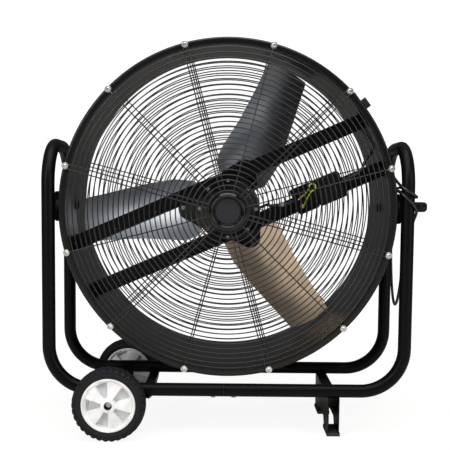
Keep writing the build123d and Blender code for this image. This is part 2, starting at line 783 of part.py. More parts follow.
with BuildPart() as blade_rivets:
    top_lift = blade_t / 2 + arm_t + 2 * touch
    back_lift = -blade_t / 2 - touch
    for angle in blade_angles:
        for spot in rivet_spots:
            with BuildSketch(rivet_plane(angle, spot, back_lift)):
                RegularPolygon(rivet_r, 8)
            extrude(amount=top_lift - back_lift)
            with BuildSketch(rivet_plane(angle, spot, top_lift)):
                RegularPolygon(rivet_head_r, 12)
            extrude(amount=rivet_head_h)
            with BuildSketch(rivet_plane(angle, spot, back_lift)):
                RegularPolygon(rivet_head_r, 12)
            extrude(amount=-rivet_head_h)
write_piece(blade_rivets, "blade_rivets")

# ------------------------------------------------------------------ wheels
half_wheel = wheel_width / 2
rim_half = half_wheel - 2
tyre_seat_r = rim_out_r + touch
for sign, end in ((-1, "front"), (1, "rear")):
    hub_middle = (wheel_x, sign * wheel_y, wheel_r)
    wheel_section = Plane(origin=hub_middle, x_dir=(1, 0, 0), z_dir=(0, 0, sign))
    wheel_face = Plane(origin=hub_middle, x_dir=(1, 0, 0), z_dir=(0, sign, 0))
    wheel_axis = Axis(hub_middle, (0, 1, 0))
    with BuildPart() as tyre:
        with BuildSketch(wheel_section):
            with BuildLine():
                Polyline(
                    (tyre_seat_r, -rim_half), (wheel_r - 9, -half_wheel), (wheel_r, -half_wheel + 7),
                    (wheel_r, half_wheel - 7), (wheel_r - 9, half_wheel), (tyre_seat_r, rim_half),
                    close=True,
                )
            make_face()
        revolve(axis=wheel_axis)
        with BuildSketch(wheel_face.offset(-half_wheel)):
            with PolarLocations(wheel_r, tread_blocks):
                Rectangle(2 * tread_groove, tread_groove)
        extrude(amount=wheel_width, mode=Mode.SUBTRACT)
    write_piece(tyre, "tyre_" + end)

    with BuildPart() as wheel_rim:
        with BuildSketch(wheel_section):
            with BuildLine():
                Polyline(
                    (axle_r + run, -half_wheel), (hub_out_r, -half_wheel), (rim_lip_r, -rim_half + 4),
                    (rim_out_r, -rim_half), (rim_out_r, rim_half), (rim_lip_r, rim_half - 4),
                    (hub_out_r, half_wheel), (hub_bore_r, half_wheel),
                    (hub_bore_r, half_wheel - hub_bore_depth), (axle_r + run, half_wheel - hub_bore_depth),
                    close=True,
                )
            make_face()
        revolve(axis=wheel_axis)
        for start in (half_wheel, -half_wheel + pocket_depth):
            with BuildSketch(wheel_face.offset(start)):
                with PolarLocations((pocket_in_r + pocket_out_r) / 2, pocket_count,
                                    start_angle=pocket_start):
                    Trapezoid(2 * pocket_out_r * sin(radians(pocket_angle / 2)),
                              pocket_out_r - pocket_in_r, 90 - pocket_angle / 2, rotation=90)
            extrude(amount=-pocket_depth, mode=Mode.SUBTRACT)
    write_piece(wheel_rim, "wheel_rim_" + end)

with BuildPart() as wheel_axle:
    with BuildSketch(Plane.XZ.offset(-axle_half)):
        with Locations((wheel_x, wheel_r)):
            Circle(axle_r)
    extrude(amount=2 * axle_half)
write_piece(wheel_axle, "wheel_axle")

bracket_bottom_z = wheel_r - axle_r - 9.5
bracket_out_y = tube_r + 2 * touch + axle_sheet
with BuildPart() as axle_brackets:
    for y in (-upright_y, upright_y):
        with BuildSketch(Plane.YZ.offset(wheel_x - axle_bracket_width / 2)):
            with BuildLine():
                edge_y = bracket_out_y - axle_sheet / 2
                Polyline(
                    (y - edge_y, low_tube_z), (y - edge_y, bracket_bottom_z),
                    (y + edge_y, bracket_bottom_z), (y + edge_y, low_tube_z),
                )
            trace(line_width=axle_sheet)
        extrude(amount=axle_bracket_width)
    with BuildSketch(Plane.XZ.offset(-axle_half)):
        with Locations((wheel_x, wheel_r)):
            Circle(axle_r + touch)
    extrude(amount=2 * axle_half, mode=Mode.SUBTRACT)
write_piece(axle_brackets, "axle_brackets")

spacer_start = upright_y + bracket_out_y + touch
spacer_stop = wheel_y - half_wheel - loose
nut_face = wheel_y + half_wheel - hub_bore_depth + loose
with BuildPart() as axle_spacers:
    for start in (spacer_start, -spacer_stop):
        with BuildSketch(Plane.XZ.offset(-start)):
            with Locations((wheel_x, wheel_r)):
                Circle(spacer_wheel_r)
                Circle(axle_r + touch, mode=Mode.SUBTRACT)
        extrude(amount=-(spacer_stop - spacer_start))
write_piece(axle_spacers, "axle_spacers")

with BuildPart() as push_nuts:
    for start in (nut_face, -nut_face - 3):
        with BuildSketch(Plane.XZ.offset(-start)):
            with Locations((wheel_x, wheel_r)):
                Circle(push_nut_r)
                Circle(axle_r + touch, mode=Mode.SUBTRACT)
        extrude(amount=-3)
write_piece(push_nuts, "axle_push_nuts")

# ------------------------------------------------------------------ brace and foot
under_tube_z = low_tube_z - tube_r - touch
with BuildPart() as wheel_brace:
    brace_half = upright_y + tube_r
    with BuildSketch(Plane.XZ.offset(-brace_half)):
        with BuildLine():
            side_x = (brace_width - foot_sheet) / 2
            Polyline(
                (brace_x - side_x, under_tube_z - brace_height), (brace_x - side_x, under_tube_z - foot_sheet / 2),
                (brace_x + side_x, under_tube_z - foot_sheet / 2), (brace_x + side_x, under_tube_z - brace_height),
            )
        trace(line_width=foot_sheet)
    extrude(amount=2 * brace_half)
write_piece(wheel_brace, "wheel_brace")

with BuildPart() as foot_channel:
    leg_in = foot_reach - foot_leg
    with BuildSketch(Plane.YZ.offset(foot_x - foot_width / 2)):
        with BuildLine():
            leg_bottom = pad_height - foot_sheet
            Polyline(
                (-foot_reach, under_tube_z), (foot_reach, under_tube_z), (foot_reach, leg_bottom),
                (leg_in, leg_bottom), (leg_in - 16, foot_arch_z), (16 - leg_in, foot_arch_z),
                (-leg_in, leg_bottom), (-foot_reach, leg_bottom), close=True,
            )
        make_face()
    extrude(amount=foot_width)
    with BuildSketch(Plane.XY):
        with Locations((foot_x, 0)):
            Rectangle(foot_width - 2 * foot_sheet, 2 * foot_reach)
    extrude(amount=under_tube_z - foot_sheet, mode=Mode.SUBTRACT)
write_piece(foot_channel, "foot_channel")

with BuildPart() as foot_pads:
    for y in (-1, 1):
        with Locations((foot_x, y * (foot_reach - foot_leg / 2), 0)):
            Box(foot_width + 4, foot_leg + 4, pad_height, align=(Align.CENTER, Align.CENTER, Align.MIN))
    with BuildSketch(Plane.XY.offset(pad_height)):
        for x in (-1, 1):
            with Locations((foot_x + x * (foot_width - foot_sheet) / 2, 0)):
                Rectangle(foot_sheet + 2 * touch, 2 * foot_reach + 2 * touch)
    extrude(amount=-foot_sheet - touch, mode=Mode.SUBTRACT)
write_piece(foot_pads, "foot_pads")

# ------------------------------------------------------------------ boxes on the lower strut
box_v = -strut_down + box_shift
tray_u = tray_start + tray_length / 2
cover_u = tray_start + tray_length + touch + capacitor_cover_length / 2
box_seat = strut_front + touch
with BuildPart() as terminal_box:
    with BuildSketch(face_at(box_seat, strut_angle)):
        with Locations((tray_u, box_v)):
            RectangleRounded(tray_length, box_height, 6)
    extrude(amount=tray_depth)
    with BuildSketch(face_at(box_seat + box_wall, strut_angle)):
        with Locations((tray_u, box_v)):
            RectangleRounded(tray_length - 2 * box_wall, box_height - 2 * box_wall, 4)
    extrude(amount=tray_depth, mode=Mode.SUBTRACT)
    with BuildSketch(Plane(origin=on_drum(0, 0, 0), x_dir=front_dir, z_dir=face_at(0, strut_angle).x_dir)):
        with Locations((box_seat + tray_depth / 2, -box_v - lead_r)):
            Circle(lead_r + touch)
    extrude(amount=tray_start + 2 * box_wall, mode=Mode.SUBTRACT)
write_piece(terminal_box, "terminal_box")

with BuildPart() as capacitor_cover:
    with BuildSketch(face_at(box_seat, strut_angle)):
        with Locations((cover_u, box_v)):
            RectangleRounded(capacitor_cover_length, box_height, 6)
    extrude(amount=capacitor_cover_depth)
    top_edges = capacitor_cover.faces().sort_by(Axis(pivot, front_dir))[-1].edges()
    chamfer(top_edges, 4)
    with BuildSketch(face_at(box_seat, strut_angle)):
        with Locations((cover_u, box_v)):
            RectangleRounded(capacitor_cover_length - 2 * box_wall, box_height - 2 * box_wall, 4)
    extrude(amount=capacitor_cover_depth - 2 * box_wall - 2, mode=Mode.SUBTRACT)
write_piece(capacitor_cover, "capacitor_cover")

with BuildPart() as capacitor:
    capacitor_length = capacitor_cover_length - 2 * box_wall - 4
    box_plane = face_at(box_seat + (capacitor_cover_depth - 2 * box_wall - 2) / 2, strut_angle)
    end_point = box_plane.from_local_coords(Vector(cover_u - capacitor_length / 2, box_v, 0))
    with BuildSketch(Plane(origin=end_point, x_dir=front_dir, z_dir=box_plane.x_dir)):
        Circle((capacitor_cover_depth - 2 * box_wall - 2) / 2 - loose)
    extrude(amount=capacitor_length)
write_piece(capacitor, "capacitor")

with BuildPart() as earth_screw:
    with BuildSketch(face_at(box_seat + box_wall + touch, strut_angle)):
        with Locations((tray_start + 15, box_v - 16)):
            Circle(5.0)
    extrude(amount=3.5)
write_piece(earth_screw, "earth_screw")


def swept_lead(points, bends, radius):
    """A round lead through points given in the drum's frame."""
    with BuildLine() as route:
        FilletPolyline(*[on_drum(*p) for p in points], radius=bends)
    with BuildSketch(Plane(origin=route.line @ 0, z_dir=route.line % 0)) as section:
        Circle(radius)
    sweep(section.sketch, path=route.line)


def along_strut(u, v, front):
    """A point along a strut, in the drum's frame."""
    a = radians(strut_angle)
    return (u * cos(a) - v * sin(a), u * sin(a) + v * cos(a), front)


lead_v = box_v + lead_r
lead_front = box_seat + tray_depth / 2
lead_turn_u = motor_r + 27
lead_pass_v = lead_r + 3 + strut_width / 2 - strut_down    # clear of the lower strut's upper edge
with BuildPart() as motor_lead:
    swept_lead(
        [along_strut(motor_r + 1, lead_pass_v, bell_face - 30),
         along_strut(lead_turn_u, lead_pass_v, bell_face - 30),
         along_strut(lead_turn_u, lead_pass_v, lead_front),
         along_strut(tray_start - 14, lead_v, lead_front),
         along_strut(tray_start + 6, lead_v, lead_front)],
        [12, 12, 12], lead_r)
write_piece(motor_lead, "motor_lead")

cover_end_u = tray_start + tray_length + touch + capacitor_cover_length
lead_wall_r = wall_r - lead_r - 1.0


def on_wall(angle, front, radius=lead_wall_r):
    """A point at a radius of the drum, in the drum's frame."""
    a = radians(angle)
    return (radius * cos(a), radius * sin(a), front)


with BuildPart() as switch_lead:
    swept_lead(
        [along_strut(cover_end_u + 1, box_v, box_seat + 14),
         along_strut(cover_end_u + 26, box_v, box_seat + 14),
         along_strut(cover_end_u + 50, lead_pass_v + 8, box_seat + 6),
         on_wall(lead_hole_angle - 12, 55), on_wall(lead_hole_angle - 5, lead_hole_front + 4),
         on_wall(lead_hole_angle, lead_hole_front), on_wall(lead_hole_angle, lead_hole_front, wall_out_r + 8)],
        [15, 15, 18, 18, lead_r + 0.5], lead_r)
write_piece(switch_lead, "switch_lead")

with BuildPart() as lead_fixings:
    with BuildSketch(radial_plane(lead_hole_angle, wall_r - touch, lead_hole_front)):
        Circle(grommet_r)
        Circle(lead_r + touch, mode=Mode.SUBTRACT)
    extrude(amount=drum_sheet + 4)
    with BuildSketch(radial_plane(lead_hole_angle, wall_out_r + 2 * touch, lead_hole_front)):
        Circle(grommet_r + 3)
        Circle(grommet_r - touch, mode=Mode.SUBTRACT)
    extrude(amount=2)
    lead_turn = Vector(*along_strut(lead_turn_u, lead_pass_v, lead_front))
    lead_straight = Vector(*along_strut(tray_start - 14, lead_v, lead_front))
    clamp_point = drum_face.from_local_coords((lead_turn + lead_straight) / 2)
    lead_end = drum_face.from_local_coords(lead_straight)
    with BuildSketch(Plane(origin=clamp_point, x_dir=front_dir, z_dir=lead_end - clamp_point)):
        Circle(lead_r + 2)
        Circle(lead_r + touch, mode=Mode.SUBTRACT)
    extrude(amount=12)
write_piece(lead_fixings, "lead_fixings")

# ------------------------------------------------------------------ switch
with BuildPart() as switch_box:
    with BuildSketch(radial_plane(switch_angle, wall_r, switch_front)):
        RectangleRounded(switch_width, switch_length, 6)
    extrude(amount=drum_sheet + switch_height)
    with BuildSketch(radial_plane(switch_angle, wall_r, switch_front)):
        RectangleRounded(switch_width - 2 * switch_wall, switch_length - 2 * switch_wall, 4)
    extrude(amount=drum_sheet + switch_height, mode=Mode.SUBTRACT)
    with BuildSketch(face_at(-half_drum)):
        Circle(wall_out_r + touch)
    extrude(amount=drum_depth, mode=Mode.SUBTRACT)
write_piece(switch_box, "switch_box")

cover_low_r = wall_out_r + switch_height + touch
cover_top_r = cover_low_r + 3
with BuildPart() as switch_cover:
    with BuildSketch(radial_plane(switch_angle, cover_low_r, switch_front)):
        RectangleRounded(switch_width, switch_length, 6)
        Circle(knob_stem_r + run, mode=Mode.SUBTRACT)
    extrude(amount=3)
write_piece(switch_cover, "switch_cover")

with BuildPart() as switch_body:
    with BuildSketch(radial_plane(switch_angle, cover_low_r - 22, switch_front)):
        Rectangle(32, 36)
    extrude(amount=22 - touch)
    with BuildSketch(radial_plane(switch_angle, cover_low_r - 12, switch_front)):
        Circle(knob_stem_r + run)
    extrude(amount=12, mode=Mode.SUBTRACT)
write_piece(switch_body, "switch_body")

with BuildPart() as switch_knob:
    with BuildSketch(radial_plane(switch_angle, cover_low_r - 10, switch_front)):
        Circle(knob_stem_r)
    extrude(amount=10 + 3 + knob_height)
    with BuildSketch(radial_plane(switch_angle, cover_top_r + loose, switch_front)):
        Circle(knob_r)
    extrude(amount=3)
    with BuildSketch(radial_plane(switch_angle, cover_top_r + loose + 3, switch_front)):
        RectangleRounded(2 * knob_r - 3, 8, 2)
    extrude(amount=knob_height - 3)
write_piece(switch_knob, "switch_knob")

gland_plane_base = radial_plane(switch_angle, wall_out_r + switch_height / 2, switch_front)
gland_start = gland_plane_base.from_local_coords(Vector(-switch_width / 2 - touch, 0, 0))
gland_out = -gland_plane_base.x_dir
with BuildPart() as cord_gland:
    with BuildSketch(Plane(origin=gland_start, z_dir=gland_out)):
        RegularPolygon(gland_r, 6, major_radius=False)
    extrude(amount=9)
    with BuildSketch(Plane(origin=gland_start, z_dir=gland_out)):
        Circle(gland_r - 1.5)
    extrude(amount=gland_length, taper=6)
write_piece(cord_gland, "cord_gland")
gland_mouth = gland_start + gland_out * (gland_length + touch)

# ------------------------------------------------------------------ supply cord
wrap_r = tube_r + cord_r + cord_gap
in_x, out_x = upright_x - wrap_r, upright_x + wrap_r
wrap_y = upright_y + wrap_r
cord_start = gland_mouth + gland_out * loose
plug_x, plug_z, plug_start_y = 464.0, 560.0, -78.0
drop_points = [
    (cord_start.X, cord_start.Y, cord_start.Z),
    (387, 55, 724), (404, 40, 688), (in_x, 2, 656), (in_x, -50, 634), (in_x, -104, 619),
]
winding_points = [
    (in_x, -wrap_y, 607), (out_x, -wrap_y, 583), (out_x, -106, 584), (out_x, -36, 590), (out_x, 40, 597),
    (out_x, 106, 602), (out_x, wrap_y, 605), (in_x, wrap_y, 607), (in_x, 106, 606), (in_x, 36, 604),
    (in_x, -40, 601.5), (in_x, -106, 598), (in_x, -wrap_y, 593), (out_x, -wrap_y, 556),
]
tail_points = [
    (451, -112, 527), (441, -84, 484), (436, -66, 410), (434, -44, 340), (434, -4, 300), (436, 42, 318),
    (438, 78, 384), (440, 98, 458), (440, 104, 530), (440, 101, 574), (443, 84, 602), (451, 52, 610),
    (460, 18, 600), (465, -16, 575), (465, -46, 561), (plug_x, plug_start_y, plug_z),
]


def cord_radii(points):
    """The largest arcs that the runs allow, or the tube's size where the cord is wound on it."""
    radii = []
    for before, here, after in zip(points, points[1:], points[2:]):
        first, second = Vector(*here) - Vector(*before), Vector(*after) - Vector(*here)
        half_turn = radians(first.get_angle(second)) / 2
        radius = 0.45 * min(first.length, second.length) / (sin(half_turn) / cos(half_turn))
        on_tube = abs(here[1]) == wrap_y
        radii.append(min(radius, wrap_r) if on_tube else radius)
    return radii


def cord_tube(points):
    """One unbroken round tube along a route of points."""
    radii = cord_radii(points)
    with BuildLine() as route:
        FilletPolyline(*points, radius=radii)
    with BuildSketch(Plane(origin=route.line @ 0, z_dir=route.line % 0)) as section:
        Circle(cord_r)
    sweep(section.sketch, path=route.line)
    return route.wires()[0], radii


def least_gap(line, apart):
    """The least gap between stretches of a cord that lie at least so far apart along it."""
    count = int(line.length / 5)
    samples = [line @ (i / count) for i in range(count + 1)]
    skip = int(apart / 5)
    gaps = [(samples[i] - samples[j]).length for i in range(count + 1) for j in range(i + skip, count + 1)]
    return min(gaps) - 2 * cord_r


def between(first, second, share):
    """A point on the run from one point to the next."""
    return tuple(a + (b - a) * share for a, b in zip(first, second))


split = between(drop_points[-2], drop_points[-1], 0.5)
split_on = between(drop_points[-2], drop_points[-1], 0.51)
with BuildPart() as cord_drop:
    drop_line, drop_radii = cord_tube(drop_points[:-1] + [split])
write_piece(cord_drop, "cord_drop")

with BuildPart() as cord_winding:
    winding_line, winding_radii = cord_tube([split_on, drop_points[-1]] + winding_points + tail_points)
write_piece(cord_winding, "cord_winding")
print("cord radii", [round(r, 1) for r in drop_radii + winding_radii])
print("cord length", round(drop_line.length + winding_line.length, 1))
print("least gap in the winding", round(least_gap(winding_line, 60), 2))

plug_r = 14.0
plug_body = 34.0
plug_sleeve = 20.0
plug_pin_length = 18.0
plug_pin_x = 6.35
with BuildPart() as power_plug:
    with BuildSketch(Plane(origin=(plug_x, plug_start_y - loose, plug_z), z_dir=(0, -1, 0))):
        Circle(cord_r + 1.5)
    extrude(amount=plug_sleeve, taper=-8)
    with BuildSketch(Plane(origin=(plug_x, plug_start_y - loose - plug_sleeve, plug_z), z_dir=(0, -1, 0),
                           x_dir=(1, 0, 0))):
        RectangleRounded(2 * plug_r, 2 * plug_r - 4, 9)
    extrude(amount=plug_body)
    with BuildSketch(Plane(origin=(plug_x, plug_start_y - loose - plug_sleeve - plug_body, plug_z),
                           z_dir=(0, -1, 0), x_dir=(1, 0, 0))):
        with Locations((-plug_pin_x, 3), (plug_pin_x, 3)):
            Rectangle(1.6, 6.4)
        with Locations((0, -8)):
            Circle(2.4)
    extrude(amount=plug_pin_length)
write_piece(power_plug, "power_plug")
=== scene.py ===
"""Looks of the drum fan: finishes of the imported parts, the full wire guards, treaded tyres,
rounded drum rims, screws, the tapered brace, the supply cord and the small wiring.

Everything is in metres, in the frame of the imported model: X to the right, Y away, Z up.
"""
import bpy
import json
from math import atan2, cos, pi, radians, sin
from mathutils import Matrix, Vector


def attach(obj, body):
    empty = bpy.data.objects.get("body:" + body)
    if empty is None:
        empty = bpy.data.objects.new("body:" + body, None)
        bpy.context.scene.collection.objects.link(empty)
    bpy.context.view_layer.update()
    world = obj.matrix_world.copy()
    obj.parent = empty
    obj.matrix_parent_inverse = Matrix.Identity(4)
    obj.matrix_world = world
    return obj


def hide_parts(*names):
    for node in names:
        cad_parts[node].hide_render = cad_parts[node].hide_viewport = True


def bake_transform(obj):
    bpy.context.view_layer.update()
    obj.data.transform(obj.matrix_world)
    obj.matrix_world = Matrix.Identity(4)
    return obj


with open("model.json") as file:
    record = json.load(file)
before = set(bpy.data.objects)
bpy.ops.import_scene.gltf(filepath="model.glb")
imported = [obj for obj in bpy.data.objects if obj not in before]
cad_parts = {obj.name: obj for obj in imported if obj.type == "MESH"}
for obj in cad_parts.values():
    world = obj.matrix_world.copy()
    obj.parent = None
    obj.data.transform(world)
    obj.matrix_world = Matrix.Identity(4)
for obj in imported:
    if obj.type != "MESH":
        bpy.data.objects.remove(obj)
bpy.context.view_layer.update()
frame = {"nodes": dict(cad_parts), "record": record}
nodes = frame["nodes"]

# ------------------------------------------------------------------ sizes shared with the part
PIVOT = Vector((0.0, 0.0, 0.555))
TILT = radians(3.0)
FRONT = Vector((0.0, -cos(TILT), -sin(TILT)))
UP = Vector((0.0, -sin(TILT), cos(TILT)))
RIGHT = Vector((1.0, 0.0, 0.0))
HALF_DRUM = 0.150
WALL_R = 0.388
RIM_R = 0.405
SHEET = 0.0015
WIRE = 0.003
TOUCH = 0.0001             # between faces that seat on each other
GUARD_DOME = 0.022
GUARD_RING_PITCH = 0.0123
GUARD_OUTER_R = 0.382
GUARD_INNER_R = 0.048
SCREW_PCD_R = 0.3995
SCREW_COUNT = 12
EYE_R = 0.0055
CAP_R = 0.0445
WIRE_START_R = CAP_R - 0.006
CAP_DISC_R = 0.030
CAP_HEIGHT = 0.014
WHEEL_CENTRE = Vector((-0.278, 0.190, 0.088))
WHEEL_R = 0.088
WHEEL_WIDTH = 0.042
RIM_OUT_R = 0.0645
STRUT_ANGLE = radians(23.5)
CORD_DIAMETER = 0.007

SCREW_ANGLES = [radians(90 - 180 / SCREW_COUNT - 360 / SCREW_COUNT * i)
                for i in range(SCREW_COUNT)]


def on_drum(x, y, front):
    """A point given in the drum's own frame: right, up, and towards the motor side."""
    return PIVOT + RIGHT * x + UP * y + FRONT * front


def along_strut(u, v, front):
    """A point given along and across the struts."""
    return on_drum(u * cos(STRUT_ANGLE) - v * sin(STRUT_ANGLE),
                   u * sin(STRUT_ANGLE) + v * cos(STRUT_ANGLE), front)


def around_drum(radius, angle, front):
    """A point given by its distance from the drum's axis and its angle from the right."""
    return on_drum(radius * cos(angle), radius * sin(angle), front)


def guard_front(radius):
    """Middle of the guard's rings at a radius, in front of the pivot."""
    return HALF_DRUM + 1.5 * WIRE + 2 * TOUCH + GUARD_DOME * (1 - (radius / WALL_R) ** 2)


# ------------------------------------------------------------------ materials
def new_material(name, colour, metallic=0.0, roughness=0.5, coat=0.0):
    """A principled material; returns the material, its tree and its shader."""
    material = bpy.data.materials.new(name)
    material.use_nodes = True
    tree = material.node_tree
    shader = tree.nodes["Principled BSDF"]
    shader.inputs["Base Color"].default_value = (*colour, 1.0)
    shader.inputs["Metallic"].default_value = metallic
    shader.inputs["Roughness"].default_value = roughness
    shader.inputs["Coat Weight"].default_value = coat
    shader.inputs["Coat Roughness"].default_value = 0.1
    return material, tree, shader


def add_noise(tree, scale, detail=4.0, stretch=(1.0, 1.0, 1.0), turn=0.0):
    """Noise in the object's own metres, stretched along an axis and turned about Y if asked."""
    coordinates = tree.nodes.new("ShaderNodeTexCoord")
    mapping = tree.nodes.new("ShaderNodeMapping")
    mapping.inputs["Rotation"].default_value = (0.0, turn, 0.0)
    mapping.inputs["Scale"].default_value = stretch
    noise = tree.nodes.new("ShaderNodeTexNoise")
    noise.inputs["Scale"].default_value = scale
    noise.inputs["Detail"].default_value = detail
    tree.links.new(coordinates.outputs["Object"], mapping.inputs["Vector"])
    tree.links.new(mapping.outputs["Vector"], noise.inputs["Vector"])
    return noise.outputs["Fac"]


def add_ramp(tree, source, stops):
    """A colour ramp over a factor; stops are (position, colour)."""
    ramp = tree.nodes.new("ShaderNodeValToRGB")
    elements = ramp.color_ramp.elements
    elements[0].position, elements[0].color = stops[0][0], (*stops[0][1], 1.0)
    elements[1].position, elements[1].color = stops[-1][0], (*stops[-1][1], 1.0)
    for position, colour in stops[1:-1]:
        elements.new(position).color = (*colour, 1.0)
    tree.links.new(source, ramp.inputs["Fac"])
    return ramp.outputs["Color"]


def add_range(tree, source, low, high):
    """Maps a factor to a range of numbers."""
    spread = tree.nodes.new("ShaderNodeMapRange")
    spread.inputs["To Min"].default_value = low
    spread.inputs["To Max"].default_value = high
    tree.links.new(source, spread.inputs["Value"])
    return spread.outputs["Result"]


def add_bump(tree, shader, source, depth):
    """Bump of a real depth in metres."""
    bump = tree.nodes.new("ShaderNodeBump")
    bump.inputs["Strength"].default_value = 1.0
    bump.inputs["Distance"].default_value = depth
    tree.links.new(source, bump.inputs["Height"])
    tree.links.new(bump.outputs["Normal"], shader.inputs["Normal"])


def shade(colour, factor):
    """A colour made darker or lighter."""
    return tuple(min(1.0, c * factor) for c in colour)


def coated_metal(name, colour, roughness, texture=900.0, depth=0.00001, coat=0.0, gloss=0.3):
    """Powder coat or enamel: fine orange peel, slightly uneven gloss and dusty patches."""
    material, tree, shader = new_material(name, colour, roughness=roughness, coat=coat)
    shader.inputs["Specular IOR Level"].default_value = gloss
    patches = add_noise(tree, 9.0)
    stops = [(0.35, shade(colour, 0.8)), (0.6, colour), (0.8, shade(colour, 1.5))]
    tree.links.new(add_ramp(tree, patches, stops), shader.inputs["Base Color"])
    grain = add_noise(tree, texture, detail=2.0)
    gloss_spread = add_range(tree, patches, roughness - 0.07, roughness + 0.09)
    tree.links.new(gloss_spread, shader.inputs["Roughness"])
    add_bump(tree, shader, grain, depth)
    return material


def plated_metal(name, colour, roughness, tint):
    """Zinc plate or bare steel: cloudy colour and fine scratches."""
    material, tree, shader = new_material(name, colour, metallic=1.0, roughness=roughness)
    clouds = add_noise(tree, 260.0)
    stops = [(0.3, tint), (0.7, colour)]
    tree.links.new(add_ramp(tree, clouds, stops), shader.inputs["Base Color"])
    gloss_spread = add_range(tree, clouds, roughness - 0.1, roughness + 0.12)
    tree.links.new(gloss_spread, shader.inputs["Roughness"])
    scratches = add_noise(tree, 500.0, detail=3.0, stretch=(1.0, 1.0, 12.0))
    add_bump(tree, shader, scratches, 0.00002)
    return material


def blade_sheet_painted_reflection(name, angle, tint, metallic):
    """Rolled sheet, grain along the blade, handling marks; a tint paints this blade's reflection."""
    colour = (0.4, 0.42, 0.45)
    material, tree, shader = new_material(name, colour, metallic=metallic, roughness=0.34)
    grain = add_noise(tree, 6.0, detail=8.0, stretch=(3.0, 20.0, 60.0), turn=angle)
    marks = add_noise(tree, 16.0, detail=6.0)
    tones = ((0.3, (0.34, 0.36, 0.40)), (0.55, (0.44, 0.46, 0.49)), (0.75, (0.54, 0.54, 0.54)))
    # the tint lightens, darkens or warms these tones: painted reflection
    stops = [(position, tuple(c * t for c, t in zip(tone, tint))) for position, tone in tones]
    tree.links.new(add_ramp(tree, marks, stops), shader.inputs["Base Color"])
    tree.links.new(add_range(tree, grain, 0.26, 0.42), shader.inputs["Roughness"])
    add_bump(tree, shader, grain, 0.00002)
    return material


def moulded(name, colour, roughness, texture=700.0, depth=0.00004):
    """Moulded plastic or rubber with a fine skin."""
    material, tree, shader = new_material(name, colour, roughness=roughness)
    patches = add_noise(tree, 30.0)
    stops = [(0.35, shade(colour, 0.85)), (0.7, shade(colour, 1.12))]
    tree.links.new(add_ramp(tree, patches, stops), shader.inputs["Base Color"])
    gloss_spread = add_range(tree, patches, roughness - 0.06, roughness + 0.08)
    tree.links.new(gloss_spread, shader.inputs["Roughness"])
    add_bump(tree, shader, add_noise(tree, texture, detail=2.0), depth)
    return material


def tyre_rubber(name):
    """Tyre rubber with a little dust that has settled on it."""
    material, tree, shader = new_material(name, (0.005, 0.005, 0.006), roughness=0.6)
    shader.inputs["Specular IOR Level"].default_value = 0.3
    dust = add_noise(tree, 60.0, detail=8.0)
    stops = [(0.4, (0.004, 0.004, 0.005)), (0.62, (0.006, 0.0058, 0.0065)),
             (0.85, (0.014, 0.013, 0.013))]
    tree.links.new(add_ramp(tree, dust, stops), shader.inputs["Base Color"])
    tree.links.new(add_range(tree, dust, 0.55, 0.85), shader.inputs["Roughness"])
    add_bump(tree, shader, add_noise(tree, 1200.0), 0.00006)
    return material


def striped_sheath(name):
    """Green sheath with a yellow stripe, as an earth wire has."""
    material, tree, shader = new_material(name, (0.05, 0.35, 0.08), roughness=0.45)
    wave = tree.nodes.new("ShaderNodeTexWave")
    wave.inputs["Scale"].default_value = 90.0
    wave.inputs["Distortion"].default_value = 0.4
    coordinates = tree.nodes.new("ShaderNodeTexCoord")
    tree.links.new(coordinates.outputs["Object"], wave.inputs["Vector"])
    stops = [(0.45, (0.04, 0.32, 0.07)), (0.55, (0.75, 0.68, 0.06))]
    tree.links.new(add_ramp(tree, wave.outputs["Fac"], stops), shader.inputs["Base Color"])
    return material


finishes = {
    "frame_black": coated_metal("frame_black", (0.0024, 0.0022, 0.0026), 0.38, depth=0.000005,
                                gloss=0.10),
    "drum_black": coated_metal("drum_black", (0.019, 0.016, 0.0145), 0.36, depth=0.000006,
                               gloss=0.4),
    # a much darker copy of the drum's paint for the rim faces: painted shade
    "rim_painted_shade": coated_metal("rim_painted_shade", (0.004, 0.0038, 0.0038), 0.26, depth=0.000004,
                              gloss=0.3),
    "wire_black": coated_metal("wire_black", (0.004, 0.004, 0.0045), 0.28, gloss=0.7),
    "cap_black": coated_metal("cap_black", (0.0022, 0.0022, 0.0028), 0.10, depth=0.000001,
                              coat=0.3),
    "disc_grey": moulded("disc_grey", (0.006, 0.006, 0.010), 0.42),
    "motor_black": coated_metal("motor_black", (0.0035, 0.0035, 0.004), 0.3),
    "zinc": plated_metal("zinc", (0.70, 0.70, 0.69), 0.34, (0.58, 0.57, 0.52)),
    "bare_steel": plated_metal("bare_steel", (0.52, 0.52, 0.53), 0.36, (0.40, 0.39, 0.38)),
    "copper": plated_metal("copper", (0.75, 0.38, 0.2), 0.38, (0.55, 0.25, 0.12)),
    "earth_brass": plated_metal("earth_brass", (0.80, 0.62, 0.30), 0.3, (0.66, 0.48, 0.2)),
    "box_black": coated_metal("box_black", (0.003, 0.003, 0.0034), 0.4, gloss=0.2),
    "case_grey": moulded("case_grey", (0.20, 0.20, 0.21), 0.5),
    "lead_black": moulded("lead_black", (0.005, 0.005, 0.0055), 0.32),
    "switch_black": moulded("switch_black", (0.02, 0.02, 0.022), 0.52, texture=400.0),
    "knob_black": moulded("knob_black", (0.014, 0.014, 0.015), 0.3),
    "pad_rubber": moulded("pad_rubber", (0.02, 0.02, 0.02), 0.75),
    "tyre_black": tyre_rubber("tyre_black"),
    "rim_white": moulded("rim_white", (0.86, 0.86, 0.86), 0.36, texture=200.0,
                         depth=0.000008),
    # grey on the floors of the white rim's pockets: painted shade
    "pocket_painted_shade": moulded("pocket_painted_shade", (0.62, 0.65, 0.65), 0.5, depth=0.00001),
    "earth_sheath": striped_sheath("earth_sheath"),
    "strut_black": coated_metal("strut_black", (0.0030, 0.0029, 0.0032), 0.42, gloss=0.18),
    "bolt_black": plated_metal("bolt_black", (0.10, 0.10, 0.105), 0.3, (0.05, 0.05, 0.055)),
    "bolt_dull": plated_metal("bolt_dull", (0.55, 0.55, 0.53), 0.3, (0.36, 0.36, 0.34)),
}
